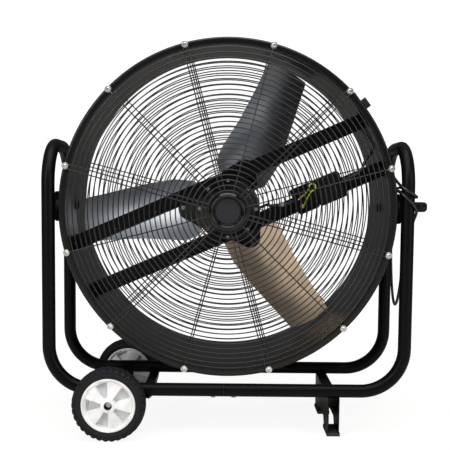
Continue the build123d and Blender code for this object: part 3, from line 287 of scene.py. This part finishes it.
own_finishes = {
    "motor_bolts": "bolt_dull", "pivot_bolts": "frame_black", "strut_bolts": "bolt_black",
    "blade_rivets": "bolt_black", "wheel_axle": "bolt_dull", "axle_push_nuts": "bolt_black",
    "strut_upper": "strut_black", "strut_lower": "strut_black", "hub_spider": "strut_black",
}
FIRST_BLADE = 64.7           # degrees; the other two stand a third of a turn on
# painted reflection: each blade's tint and metallic value; upper one darker, left lighter, lower
# right tan
blade_painted_reflections = (((0.78, 0.82, 0.86), 0.85), ((1.45, 1.46, 1.48), 0.65), ((1.95, 1.48, 1.02), 0.6))
blade_finishes = {}
for blade, (tint, metallic) in enumerate(blade_painted_reflections):
    blade_finishes["blade_%d" % (blade + 1)] = blade_sheet_painted_reflection(
        "blade_metal_%d" % (blade + 1), radians(FIRST_BLADE + 120 * blade), tint, metallic)


def dress_cad_nodes():
    """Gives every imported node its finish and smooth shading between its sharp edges."""
    slot_of = {s["node"]: s["material_slot"] for s in frame["record"]["subparts"]}
    for name, node in nodes.items():
        material = blade_finishes.get(name) or finishes[own_finishes.get(name, slot_of[name])]
        node.data.materials.clear()
        node.data.materials.append(material)
        node.data.shade_smooth()
        node.data.set_sharp_from_angle(angle=radians(32))


# ------------------------------------------------------------------ mesh helpers
def add_object(name, data):
    """An object with the given data, linked to the scene."""
    obj = bpy.data.objects.new(name, data)
    bpy.context.scene.collection.objects.link(obj)
    return obj


def new_piece(name, mesh, body, slot, smooth_angle=35.0):
    """Links a mesh as a piece that rides on a body."""
    obj = add_object(name, mesh)
    if not mesh.materials:
        mesh.materials.append(finishes[slot])
    mesh.shade_smooth()
    mesh.set_sharp_from_angle(angle=radians(smooth_angle))
    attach(obj, body)
    return obj


def mesh_from(verts, faces, name):
    """A mesh of the given points and faces."""
    mesh = bpy.data.meshes.new(name)
    mesh.from_pydata([tuple(v) for v in verts], [], faces)
    mesh.update()
    return mesh


def skin_rings(faces, base, rings, count, closed=True):
    """Adds the faces between the neighbouring rings of points of a form that goes all round."""
    for s in range(rings):
        nxt = (s + 1) % rings
        for i in range(count if closed else count - 1):
            j = (i + 1) % count
            faces.append((base + s * count + i, base + nxt * count + i,
                          base + nxt * count + j, base + s * count + j))


def lathe(verts, faces, profile, place, segments, closed=True):
    """Adds a turned form; profile points are (radius, height), and place maps (x, y, height)."""
    base = len(verts)
    for s in range(segments):
        a = 2 * pi * s / segments
        for radius, height in profile:
            verts.append(place(radius * cos(a), radius * sin(a), height))
    skin_rings(faces, base, segments, len(profile), closed)


def arc(centre, radius, start, stop, steps):
    """Points of an arc, in degrees, for profiles."""
    turns = [radians(start + (stop - start) * i / steps) for i in range(steps + 1)]
    return [(centre[0] + radius * cos(a), centre[1] + radius * sin(a)) for a in turns]


def tube_mesh(verts, faces, line, radius, sides, closed=False):
    """Adds a round wire along a line of points, with frames carried along it."""
    count = len(line)
    base = len(verts)
    normal = None
    for i in range(count):
        before = line[i - 1] if (closed or i > 0) else line[i]
        after = line[(i + 1) % count] if (closed or i < count - 1) else line[i]
        tangent = (after - before).normalized()
        if normal is None:
            helper = Vector((0, 0, 1)) if abs(tangent.z) < 0.8 else Vector((1, 0, 0))
            normal = (helper - tangent * helper.dot(tangent)).normalized()
        else:
            normal = (normal - tangent * normal.dot(tangent)).normalized()
        across = tangent.cross(normal)
        for k in range(sides):
            a = 2 * pi * k / sides
            verts.append(line[i] + (normal * cos(a) + across * sin(a)) * radius)
    for i in range(count if closed else count - 1):
        j = (i + 1) % count
        for k in range(sides):
            m = (k + 1) % sides
            faces.append((base + i * sides + k, base + i * sides + m,
                          base + j * sides + m, base + j * sides + k))
    if not closed:
        faces.append(tuple(base + k for k in range(sides))[::-1])
        faces.append(tuple(base + (count - 1) * sides + k for k in range(sides)))


# ------------------------------------------------------------------ drum shell
def make_drum_shell():
    """The drum with rounded, turned and hemmed rims and a flat rolled wall."""
    rim_bend, wall_bend, back_bend = 0.005, 0.003, 0.0025
    hem, hem_lip, hem_ease, hem_end = 0.011, 0.002, 0.0006, 0.0008
    segments = 192
    inner_lines, outer_lines = [], []
    for sign in (1, -1):
        side = [(RIM_R - hem_lip, HALF_DRUM - hem),
                (RIM_R - hem_ease, HALF_DRUM - hem - hem_ease),
                (RIM_R, HALF_DRUM - hem + hem_end)]
        side += arc((RIM_R - rim_bend, HALF_DRUM - rim_bend), rim_bend, 0, 90, 6)
        side += arc((WALL_R + wall_bend, HALF_DRUM - wall_bend), wall_bend, 90, 180, 4)
        inner_lines.append([(r, sign * z) for r, z in side])
        back = (WALL_R + SHEET + back_bend, HALF_DRUM - SHEET - back_bend)
        side = arc(back, back_bend, 180, 90, 3)
        side += arc((RIM_R - rim_bend, HALF_DRUM - rim_bend), rim_bend - SHEET, 90, 0, 5)
        outer_lines.append([(r, sign * z) for r, z in side])
    loop = inner_lines[0] + inner_lines[1][::-1] + outer_lines[1][::-1] + outer_lines[0]
    verts, faces = [], []
    lathe(verts, faces, loop, on_drum, segments)
    mesh = mesh_from(verts, faces, "drum_shell_finish")
    mesh.materials.append(finishes["drum_black"])
    mesh.materials.append(finishes["rim_painted_shade"])
    # the rim faces take the darker copy of the paint, a painted shade
    rim_shade_from = WALL_R + 0.002
    for polygon in mesh.polygons:
        offset = polygon.center - PIVOT
        from_axis = (offset - FRONT * offset.dot(FRONT)).length
        polygon.material_index = 1 if from_axis > rim_shade_from else 0
    shell = new_piece("drum_shell_finish", mesh, "drum", "drum_black")
    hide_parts("drum_shell")


# ------------------------------------------------------------------ guards
def guard_line(angle, shift, direction, steps=10):
    """Points of a radial wire under the rings, at a sideways shift."""
    points = []
    for i in range(steps + 1):
        r = WIRE_START_R + (GUARD_OUTER_R - WIRE_START_R) * i / steps
        points.append(on_drum(r * cos(angle) - shift * sin(angle),
                              r * sin(angle) + shift * cos(angle),
                              direction * (guard_front(r) - WIRE)))
    return points


def eye_points(angle, direction, start, stop, steps=9):
    """Points round a screw, on the rim's face; angles are measured from the outward radius."""
    height = direction * (HALF_DRUM + TOUCH + WIRE / 2)
    points = []
    for i in range(steps + 1):
        turn = angle + radians(start + (stop - start) * i / steps)
        points.append(on_drum(SCREW_PCD_R * cos(angle) + EYE_R * cos(turn),
                              SCREW_PCD_R * sin(angle) + EYE_R * sin(turn), height))
    return points


def make_guard(direction, name, node):
    """All rings of the dome, and single and paired wires with eyes round the screws."""
    ring_step, least_segments, wire_sides = 0.013, 48, 6
    verts, faces = [], []
    ring_count = int((GUARD_OUTER_R - GUARD_INNER_R) / GUARD_RING_PITCH) + 1
    for i in range(ring_count):
        radius = GUARD_OUTER_R - i * GUARD_RING_PITCH
        height = direction * guard_front(radius)
        segments = max(least_segments, int(radius * 2 * pi / ring_step))
        line = [around_drum(radius, 2 * pi * s / segments, height) for s in range(segments)]
        tube_mesh(verts, faces, line, WIRE / 2, sides=wire_sides, closed=True)
    for i, angle in enumerate(SCREW_ANGLES):
        if i % 2:
            line = guard_line(angle, EYE_R, direction)
            line += eye_points(angle, direction, 90, -90)
            line += guard_line(angle, -EYE_R, direction)[::-1]
        else:
            line = guard_line(angle, 0, direction)
            line += eye_points(angle, direction, 180, -170, steps=16)
        tube_mesh(verts, faces, line, WIRE / 2, sides=wire_sides)
    guard = new_piece(name, mesh_from(verts, faces, name), "drum", "wire_black", smooth_angle=70)
    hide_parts(node)


def make_guard_caps():
    """Dished glossy caps on the middle of both guards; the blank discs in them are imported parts."""
    seat = guard_front(WIRE_START_R) - WIRE / 2
    top = guard_front(0) + CAP_HEIGHT - WIRE
    axis_r = 0.0005              # the turned form ends this near its axis
    dish = top - 0.008           # height of the middle
    dish_back = top - 0.0095
    bend, crown, skin = 0.002, 0.0045, 0.0012
    crown_back_r = CAP_R - 0.006
    profile = [(axis_r, dish), (CAP_DISC_R - bend, dish)]
    profile += arc((CAP_DISC_R, top - 0.006), bend, -90, -30, 3)
    profile += arc((CAP_R - 0.0065, top - crown), crown, 150, 0, 8)
    profile += [(CAP_R, top - 0.006), (CAP_R, seat), (CAP_R - skin, seat),
                (CAP_R - skin, top - 0.0065)]
    profile += [(crown_back_r, top - 0.003), (CAP_DISC_R, dish_back), (axis_r, dish_back)]
    verts, faces = [], []
    for direction in (1, -1):
        lathe(verts, faces, profile, lambda x, y, z: on_drum(x, y, direction * z), 64, closed=False)
    mesh = mesh_from(verts, faces, "guard_caps_finish")
    caps = new_piece("guard_caps_finish", mesh, "drum", "cap_black")
    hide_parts("guard_caps")


# ------------------------------------------------------------------ screws
def cross_screw(verts, faces, place):
    """A pan head screw with a cross recess on a flat washer; place maps (x, y, height)."""
    hole_r, washer_r, washer_t, ease = 0.0026, 0.008, 0.001, 0.0003
    neck_r, head_r, head_h, recess_depth = 0.0024, 0.0052, 0.0034, 0.0016
    top = washer_t + head_h
    segments = 24
    washer = [(hole_r, 0), (washer_r - ease, 0), (washer_r, ease), (washer_r, washer_t - ease),
              (washer_r - ease, washer_t), (hole_r, washer_t)]
    lathe(verts, faces, washer, place, segments)
    side = [(neck_r, washer_t), (head_r - 0.0002, washer_t), (head_r, washer_t + 0.0004),
            (head_r - 0.0006, washer_t + head_h * 0.7), (head_r * 0.62, top)]
    base = len(verts)
    lathe(verts, faces, side, place, segments, closed=False)
    rim = [base + s * len(side) + len(side) - 1 for s in range(segments)]
    arm, half = head_r * 0.5, head_r * 0.13
    plus = [(arm, -half), (arm, half), (half, half), (half, arm), (-half, arm), (-half, half),
            (-arm, half), (-arm, -half), (-half, -half), (-half, -arm), (half, -arm), (half, -half)]
    corners = len(plus)
    mouth = len(verts)
    for x, y in plus:
        verts.append(place(x, y, top))
    for x, y in plus:
        verts.append(place(x * 0.6, y * 0.6, top - recess_depth))
    for k in range(corners):
        m = (k + 1) % corners
        faces.append((mouth + k, mouth + m, mouth + corners + m, mouth + corners + k))
    faces.append(tuple(mouth + corners + k for k in range(corners)))
    nearest = [nearest_corner(plus, s, segments) for s in range(segments)]
    for s in range(segments):
        nxt = (s + 1) % segments
        k, m = nearest[s], nearest[nxt]
        faces.append((rim[s], rim[nxt], mouth + m, mouth + k) if k != m
                     else (rim[s], rim[nxt], mouth + k))
        while (k + 1) % corners != m and k != m:
            k = (k + 1) % corners
            faces.append((mouth + m, mouth + (k - 1) % corners, mouth + k))


def nearest_corner(plus, step, segments):
    """Index of the recess corner that lies at a step round the head."""
    a = 2 * pi * step / segments
    angles = [atan2(y, x) % (2 * pi) for x, y in plus]
    return min(range(len(plus)),
               key=lambda k: min(abs(angles[k] - a), 2 * pi - abs(angles[k] - a)))


def make_guard_screws():
    """The screws of both guards, each head at a turn of its own."""
    verts, faces = [], []
    seat = HALF_DRUM + WIRE + 2 * TOUCH
    head_turn = 0.7
    for direction in (1, -1):
        for i, angle in enumerate(SCREW_ANGLES):
            centre_x, centre_y = SCREW_PCD_R * cos(angle), SCREW_PCD_R * sin(angle)
            turn = head_turn * i

            def place(x, y, z):
                return on_drum(centre_x + x * cos(turn) - y * sin(turn),
                               centre_y + x * sin(turn) + y * cos(turn), direction * (seat + z))
            cross_screw(verts, faces, place)
    mesh = mesh_from(verts, faces, "guard_screws_finish")
    screws = new_piece("guard_screws_finish", mesh, "drum", "zinc")
    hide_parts("guard_screws")


# ------------------------------------------------------------------ wheels
def wheel_place(sign):
    """Maps wheel coordinates, with height outwards, to the frame."""
    centre = Vector((WHEEL_CENTRE.x, sign * WHEEL_CENTRE.y, WHEEL_CENTRE.z))

    def place(x, y, z):
        return centre + Vector((x, sign * z, y))
    return place


def make_tyre(sign, name, body, node):
    """A solid tyre with a round shoulder, a sidewall ridge and staggered shoulder blocks."""
    half = WHEEL_WIDTH / 2
    blocks, block_steps = 34, 6
    shoulder_r, shoulder_bend = 0.0795, 0.0075
    crown_r, crown_half = WHEEL_R - 0.0004, 0.006
    notch_depth, notch_squeeze = 0.0034, 0.965
    notch_from, squeeze_from = 0.007, 0.015
    side = [(RIM_OUT_R + 0.0002, -half + 0.003), (RIM_OUT_R + 0.003, -half + 0.0012),
            (0.0725, -half + 0.0004), (0.0735, -half), (0.0745, -half + 0.0004),
            (0.079, -half + 0.0012)]
    side += arc((shoulder_r, -half + shoulder_bend), shoulder_bend, 270, 355, 6)
    crown = [(crown_r, -crown_half), (crown_r, crown_half)]
    full = side + crown + [(r, -z) for r, z in reversed(side)]
    steps = blocks * block_steps
    place = wheel_place(sign)
    verts, faces = [], []
    for s in range(steps):
        a = 2 * pi * s / steps
        phase = s % block_steps
        for r, z in full:
            edge = r > shoulder_r and abs(z) > notch_from
            notch = edge and phase in ((0, 1) if z < 0 else (3, 4))
            radius = r - notch_depth if notch else r
            width = z * notch_squeeze if notch and abs(z) > squeeze_from else z
            verts.append(place(radius * cos(a), radius * sin(a), width))
    skin_rings(faces, 0, steps, len(full))
    tyre = new_piece(name, mesh_from(verts, faces, name), body, "tyre_black", smooth_angle=30)
    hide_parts(node)


def make_rim(sign, name, body, node):
    """A white moulded rim with a raised lip, a hub and five sunk pockets between petals."""
    place = wheel_place(sign)
    half = WHEEL_WIDTH / 2
    hub_r, bore_r, bore_step = 0.0097, 0.00605, 0.014
    edge_drop = 0.0036
    # radius, and depth below the tyre's side, from the hub to the tyre
    face_line = [(hub_r, 0), (0.0155, 0), (0.017, 0.0006), (0.0185, 0.0022), (0.030, 0.0034),
                 (0.045, 0.0050), (0.0535, 0.0062), (0.0555, 0.0066), (0.0575, 0.0066),
                 (0.0588, 0.0042), (0.0600, 0.0022), (0.0636, 0.0022), (RIM_OUT_R, edge_drop)]
    pocket_turns = [107 + 72 * k for k in range(5)]
    pocket_half, pocket_depth = 15.5, 0.012
    pocket_start_r, pocket_end_r = 0.0175, 0.0545
    steps, rows = 180, len(face_line)
    verts, faces, pocket_shaded = [], [], []
    for side in (1, -1):
        base = len(verts)
        for s in range(steps):
            angle = 360 * s / steps
            off = min(abs((angle - p * sign * side + 180) % 360 - 180) for p in pocket_turns)
            for r, drop in face_line:
                sunk = off < pocket_half and pocket_start_r < r < pocket_end_r
                height = half - drop - pocket_depth if sunk else half - drop
                verts.append(place(r * cos(radians(angle)), r * sin(radians(angle)), side * height))
        for s in range(steps):
            nxt = (s + 1) % steps
            for i in range(rows - 1):
                face = (base + s * rows + i, base + nxt * rows + i,
                        base + nxt * rows + i + 1, base + s * rows + i + 1)
                faces.append(face if side * sign < 0 else face[::-1])
                reach = max(abs((verts[k] - place(0, 0, 0)).y) for k in face)
                # faces on the pocket floors are marked for the grey of painted shade
                pocket_shaded.append(reach < half - pocket_depth)
    tread_side = [(RIM_OUT_R, half - edge_drop), (RIM_OUT_R, edge_drop - half)]
    lathe(verts, faces, tread_side, place, steps, closed=False)
    bore_shade_from = len(faces)
    bore = [(hub_r, half), (hub_r, half - bore_step), (bore_r, half - bore_step), (bore_r, -half),
            (hub_r, -half)]
    lathe(verts, faces, bore, place, 48, closed=False)
    mesh = mesh_from(verts, faces, name)
    for finish in ("rim_white", "pocket_painted_shade", "bolt_black"):
        mesh.materials.append(finishes[finish])
    for index, is_shaded in enumerate(pocket_shaded):
        if is_shaded:
            mesh.polygons[index].material_index = 1
    # the bore's walls take the dark bolt finish: painted shade in the hole
    for polygon in mesh.polygons[bore_shade_from:]:
        polygon.material_index = 2
    rim = new_piece(name, mesh, body, "rim_white", smooth_angle=30)
    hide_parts(node)


# ------------------------------------------------------------------ brace under the frame
def make_brace():
    """The folded channel under the two lower tubes, whose flanges taper to its ends."""
    left, right, top, sheet = -0.211, -0.187, 0.0944, 0.0025
    half_length, half_straight = 0.148, 0.030
    end_height, full_height = 0.0035, 0.024
    corners = 8
    stations = [(-half_length, end_height), (-half_straight, full_height),
                (half_straight, full_height), (half_length, end_height)]
    verts, faces = [], []
    for y, height in stations:
        low = top - height
        for x, z in ((left, low), (left, top), (right, top), (right, low),
                     (right - sheet, low), (right - sheet, top - sheet),
                     (left + sheet, top - sheet), (left + sheet, low)):
            verts.append((x, y, z))
    for i in range(len(stations) - 1):
        near, far = i * corners, (i + 1) * corners
        for k in range(corners):
            m = (k + 1) % corners
            faces.append((near + k, near + m, far + m, far + k))
    for end, flip in ((0, 1), (len(verts) - corners, -1)):
        for loop in ((0, 1, 6, 7), (1, 2, 5, 6), (2, 3, 4, 5)):
            faces.append(tuple(end + k for k in loop)[::flip])
    mesh = mesh_from(verts, faces, "wheel_brace_finish")
    brace = new_piece("wheel_brace_finish", mesh, "frame", "frame_black")
    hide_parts("wheel_brace")


# ------------------------------------------------------------------ supply cord
DROP_POINTS = [
    (0.3659, 0.0547, 0.7531), (0.387, 0.055, 0.724), (0.404, 0.040, 0.688),
    (0.4119, 0.002, 0.656), (0.4119, -0.050, 0.634), (0.4119, -0.077, 0.6265),
]
WINDING_POINTS = [
    (0.4119, -0.0775, 0.6264), (0.4119, -0.104, 0.619), (0.4119, -0.1521, 0.607),
    (0.4521, -0.1521, 0.583), (0.4521, -0.106, 0.584), (0.4521, -0.036, 0.590),
    (0.4521, 0.040, 0.597), (0.4521, 0.106, 0.602), (0.4521, 0.1521, 0.605),
    (0.4119, 0.1521, 0.607), (0.4119, 0.106, 0.606), (0.4119, 0.036, 0.604),
    (0.4119, -0.040, 0.6015), (0.4119, -0.106, 0.598), (0.4119, -0.1521, 0.593),
    (0.4521, -0.1521, 0.556), (0.451, -0.112, 0.527), (0.441, -0.084, 0.484),
    (0.436, -0.066, 0.410), (0.434, -0.044, 0.340), (0.434, -0.004, 0.300),
    (0.436, 0.042, 0.318), (0.438, 0.078, 0.384), (0.440, 0.098, 0.458),
    (0.440, 0.104, 0.530), (0.440, 0.101, 0.574), (0.443, 0.084, 0.602),
    (0.451, 0.052, 0.610), (0.460, 0.018, 0.600), (0.465, -0.016, 0.575),
    (0.465, -0.046, 0.561), (0.464, -0.078, 0.560),
]


def route_curve(name, points, bevel):
    """An open smooth spline with the route's points as its control points."""
    data = bpy.data.curves.new(name, "CURVE")
    data.dimensions = "3D"
    data.resolution_u = 12
    data.bevel_depth = bevel
    data.bevel_resolution = 6
    data.use_fill_caps = True
    spline = data.splines.new("NURBS")
    spline.points.add(len(points) - 1)
    for point, co in zip(spline.points, points):
        point.co = (*co, 1.0)
    spline.order_u = 3
    spline.use_endpoint_u = True
    return add_object(name, data)


def line_of(curve):
    """The points that a bare spline passes through."""
    bpy.context.view_layer.update()
    mesh = bpy.data.meshes.new_from_object(curve)
    points = [v.co.copy() for v in mesh.vertices]
    bpy.data.meshes.remove(mesh)
    return points


def length_of(points):
    """The length of a line of points."""
    return sum((b - a).length for a, b in zip(points, points[1:]))


def make_cord():
    """The stretch from the switch box, and the wound one."""
    guide = route_curve("drop_guide", DROP_POINTS, 0.0)
    line = line_of(guide)
    bpy.data.objects.remove(guide)
    verts, faces = [], []
    tube_mesh(verts, faces, line, CORD_DIAMETER / 2, sides=16)
    mesh = mesh_from(verts, faces, "cord_drop_finish")
    mesh.materials.append(finishes["lead_black"])
    mesh.shade_smooth()
    drop = add_object("cord_drop_finish", mesh)
    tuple(DROP_POINTS[0])
    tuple(DROP_POINTS[-1])
    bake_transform(drop)
    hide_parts("cord_drop")
    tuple(DROP_POINTS[0])
    length_of(line)
    bare = route_curve("winding_guide", WINDING_POINTS, 0.0)
    winding_length = length_of(line_of(bare))
    bpy.data.objects.remove(bare)
    winding = route_curve("cord_winding_finish", WINDING_POINTS, CORD_DIAMETER / 2)
    winding.data.materials.append(finishes["lead_black"])
    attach(winding, "frame")
    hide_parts("cord_winding")
    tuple(WINDING_POINTS[0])
    print("cord length", round(length_of(line) + winding_length, 3))


# ------------------------------------------------------------------ small wiring
def make_earth_lead():
    """The earth wire: from its screw in the tray up into a loop over the cover, and back."""
    centre_u, centre_v, loop, height = 0.207, -0.027, 0.0085, 0.1395
    wire_r = 0.0017
    points = [(0.174, -0.063, 0.1065), (0.184, -0.052, 0.118), (0.192, -0.042, 0.134)]
    points += [(centre_u + loop * cos(radians(a)), centre_v + loop * sin(radians(a)), height)
               for a in range(-120, 181, 30)]
    points += [(0.191, -0.033, 0.134), (0.178, -0.040, 0.116), (0.166, -0.044, 0.113)]
    curve = route_curve("earth_lead", [tuple(along_strut(*p)) for p in points], wire_r)
    curve.data.materials.append(finishes["earth_sheath"])
    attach(curve, "drum")


def make_switch_lead():
    """The lead that leaves the capacitor cover and runs in one arc up the wall to its hole."""
    lead_r = 0.0035
    route_r = WALL_R - 0.0045
    hole_angle, hole_front, hole_end_r = 33.5, -0.045, WALL_R + 0.010
    points = [along_strut(0.2801, -0.043, 0.1141), along_strut(0.300, -0.043, 0.1141),
              along_strut(0.334, -0.040, 0.112), along_strut(0.352, -0.018, 0.104)]
    for angle, front in ((22.5, 0.092), (26.5, 0.082), (30.5, 0.062), (33.0, 0.030),
                         (hole_angle, -0.010), (hole_angle, -0.0445)):
        points.append(around_drum(route_r, radians(angle), front))
    points.append(around_drum(hole_end_r, radians(hole_angle), hole_front))
    curve = route_curve("switch_lead_finish", [tuple(p) for p in points], lead_r)
    curve.data.materials.append(finishes["lead_black"])
    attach(curve, "drum")
    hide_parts("switch_lead")


# ------------------------------------------------------------------ stage, lights and camera
def white_for_camera(tree, own, near=1.0):
    """Shows white to the camera and the given shader to everything else; near is the white's share
    at the middle of the stage, and it grows to the whole a step away."""
    white = tree.nodes.new("ShaderNodeEmission")
    white.inputs["Color"].default_value = (1.0, 1.0, 1.0, 1.0)
    white.inputs["Strength"].default_value = 1.1
    path = tree.nodes.new("ShaderNodeLightPath")
    seen = tree.nodes.new("ShaderNodeMath")
    seen.operation = "MAXIMUM"
    tree.links.new(path.outputs["Is Camera Ray"], seen.inputs[0])
    tree.links.new(path.outputs["Is Transmission Ray"], seen.inputs[1])
    share = seen.outputs[0]
    if near < 1.0:
        coordinates = tree.nodes.new("ShaderNodeTexCoord")
        distance = tree.nodes.new("ShaderNodeVectorMath")
        distance.operation = "LENGTH"
        tree.links.new(coordinates.outputs["Object"], distance.inputs[0])
        spread = tree.nodes.new("ShaderNodeMapRange")
        spread.interpolation_type = "SMOOTHSTEP"
        for socket, value in (("From Min", 0.45), ("From Max", 1.5), ("To Min", near),
                              ("To Max", 1.0)):
            spread.inputs[socket].default_value = value
        tree.links.new(distance.outputs["Value"], spread.inputs["Value"])
        product = tree.nodes.new("ShaderNodeMath")
        product.operation = "MULTIPLY"
        tree.links.new(share, product.inputs[0])
        tree.links.new(spread.outputs["Result"], product.inputs[1])
        share = product.outputs[0]
    mix = tree.nodes.new("ShaderNodeMixShader")
    tree.links.new(share, mix.inputs["Fac"])
    tree.links.new(own, mix.inputs[1])
    tree.links.new(white.outputs["Emission"], mix.inputs[2])
    return mix.outputs["Shader"]


def make_stage():
    """A pale floor that keeps the shadow near the object, and a plain white world."""
    mesh = mesh_from([(-9, -7, 0), (9, -7, 0), (9, 12, 0), (-9, 12, 0)], [(0, 1, 2, 3)], "floor")
    floor = add_object("floor", mesh)
    material, tree, shader = new_material("floor_pale", (0.84, 0.80, 0.75), roughness=0.9)
    output = tree.nodes["Material Output"]
    mixed = white_for_camera(tree, shader.outputs["BSDF"], near=0.82)
    tree.links.new(mixed, output.inputs["Surface"])
    mesh.materials.append(material)
    world = bpy.data.worlds.new("studio")
    bpy.context.scene.world = world
    world.use_nodes = True
    tree = world.node_tree
    background = tree.nodes["Background"]
    background.inputs["Color"].default_value = (0.95, 0.97, 1.0, 1.0)
    background.inputs["Strength"].default_value = 0.16
    mixed = white_for_camera(tree, background.outputs["Background"])
    tree.links.new(mixed, tree.nodes["World Output"].inputs["Surface"])


def area_light(name, place, aim, size, power):
    """A rectangular light at a place, turned to the point it aims at."""
    data = bpy.data.lights.new(name, "AREA")
    data.shape = "RECTANGLE"
    data.size, data.size_y = size
    data.energy = power
    lamp = add_object(name, data)
    lamp.location = place
    lamp.rotation_euler = (Vector(aim) - Vector(place)).to_track_quat("-Z", "Y").to_euler()


def make_lights():
    """Tall soft boxes either side of the camera, and a wide one above."""
    area_light("key", (-1.9, -2.4, 1.7), (0, 0, 0.55), (0.4, 2.0), 36)
    area_light("fill", (2.3, -1.9, 1.3), (0, 0, 0.5), (0.35, 2.0), 24)
    area_light("top", (0.0, -0.95, 2.8), (0, 0, 0.4), (2.4, 2.8), 78)


def make_camera():
    """The photograph's view: size, height and lean were fitted to the object's known forms."""
    frame_pixels = 450
    focal_pixels = 808.7
    principal_row = 254.1
    pitch, yaw, roll = 0.0743, -0.0025, 0.0088
    position = (-0.00114, -2.0764, 0.5876)
    data = bpy.data.cameras.new("camera")
    data.sensor_width = 36.0
    data.lens = focal_pixels / frame_pixels * data.sensor_width
    data.shift_y = (principal_row - frame_pixels / 2) / frame_pixels
    camera = add_object("camera", data)
    forward = Vector((sin(yaw) * cos(pitch), cos(yaw) * cos(pitch), -sin(pitch)))
    right = Vector((cos(yaw), -sin(yaw), 0))
    up = right.cross(forward)
    rolled_right = right * cos(roll) + up * sin(roll)
    rolled_up = up * cos(roll) - right * sin(roll)
    axes = Matrix((rolled_right, rolled_up, -forward)).transposed().to_4x4()
    camera.matrix_world = Matrix.Translation(position) @ axes
    bpy.context.scene.camera = camera


make_camera()
make_stage()
make_lights()
dress_cad_nodes()
make_cord()
make_drum_shell()
make_guard(1, "guard_front_finish", "guard_front")
make_guard(-1, "guard_rear_finish", "guard_rear")
make_guard_caps()
make_guard_screws()
make_tyre(-1, "tyre_front_finish", "wheel_front", "tyre_front")
make_tyre(1, "tyre_rear_finish", "wheel_rear", "tyre_rear")
make_rim(-1, "wheel_rim_front_finish", "wheel_front", "wheel_rim_front")
make_rim(1, "wheel_rim_rear_finish", "wheel_rear", "wheel_rim_rear")
make_earth_lead()
make_switch_lead()
make_brace()

bpy.context.scene.view_settings.view_transform = "Standard"
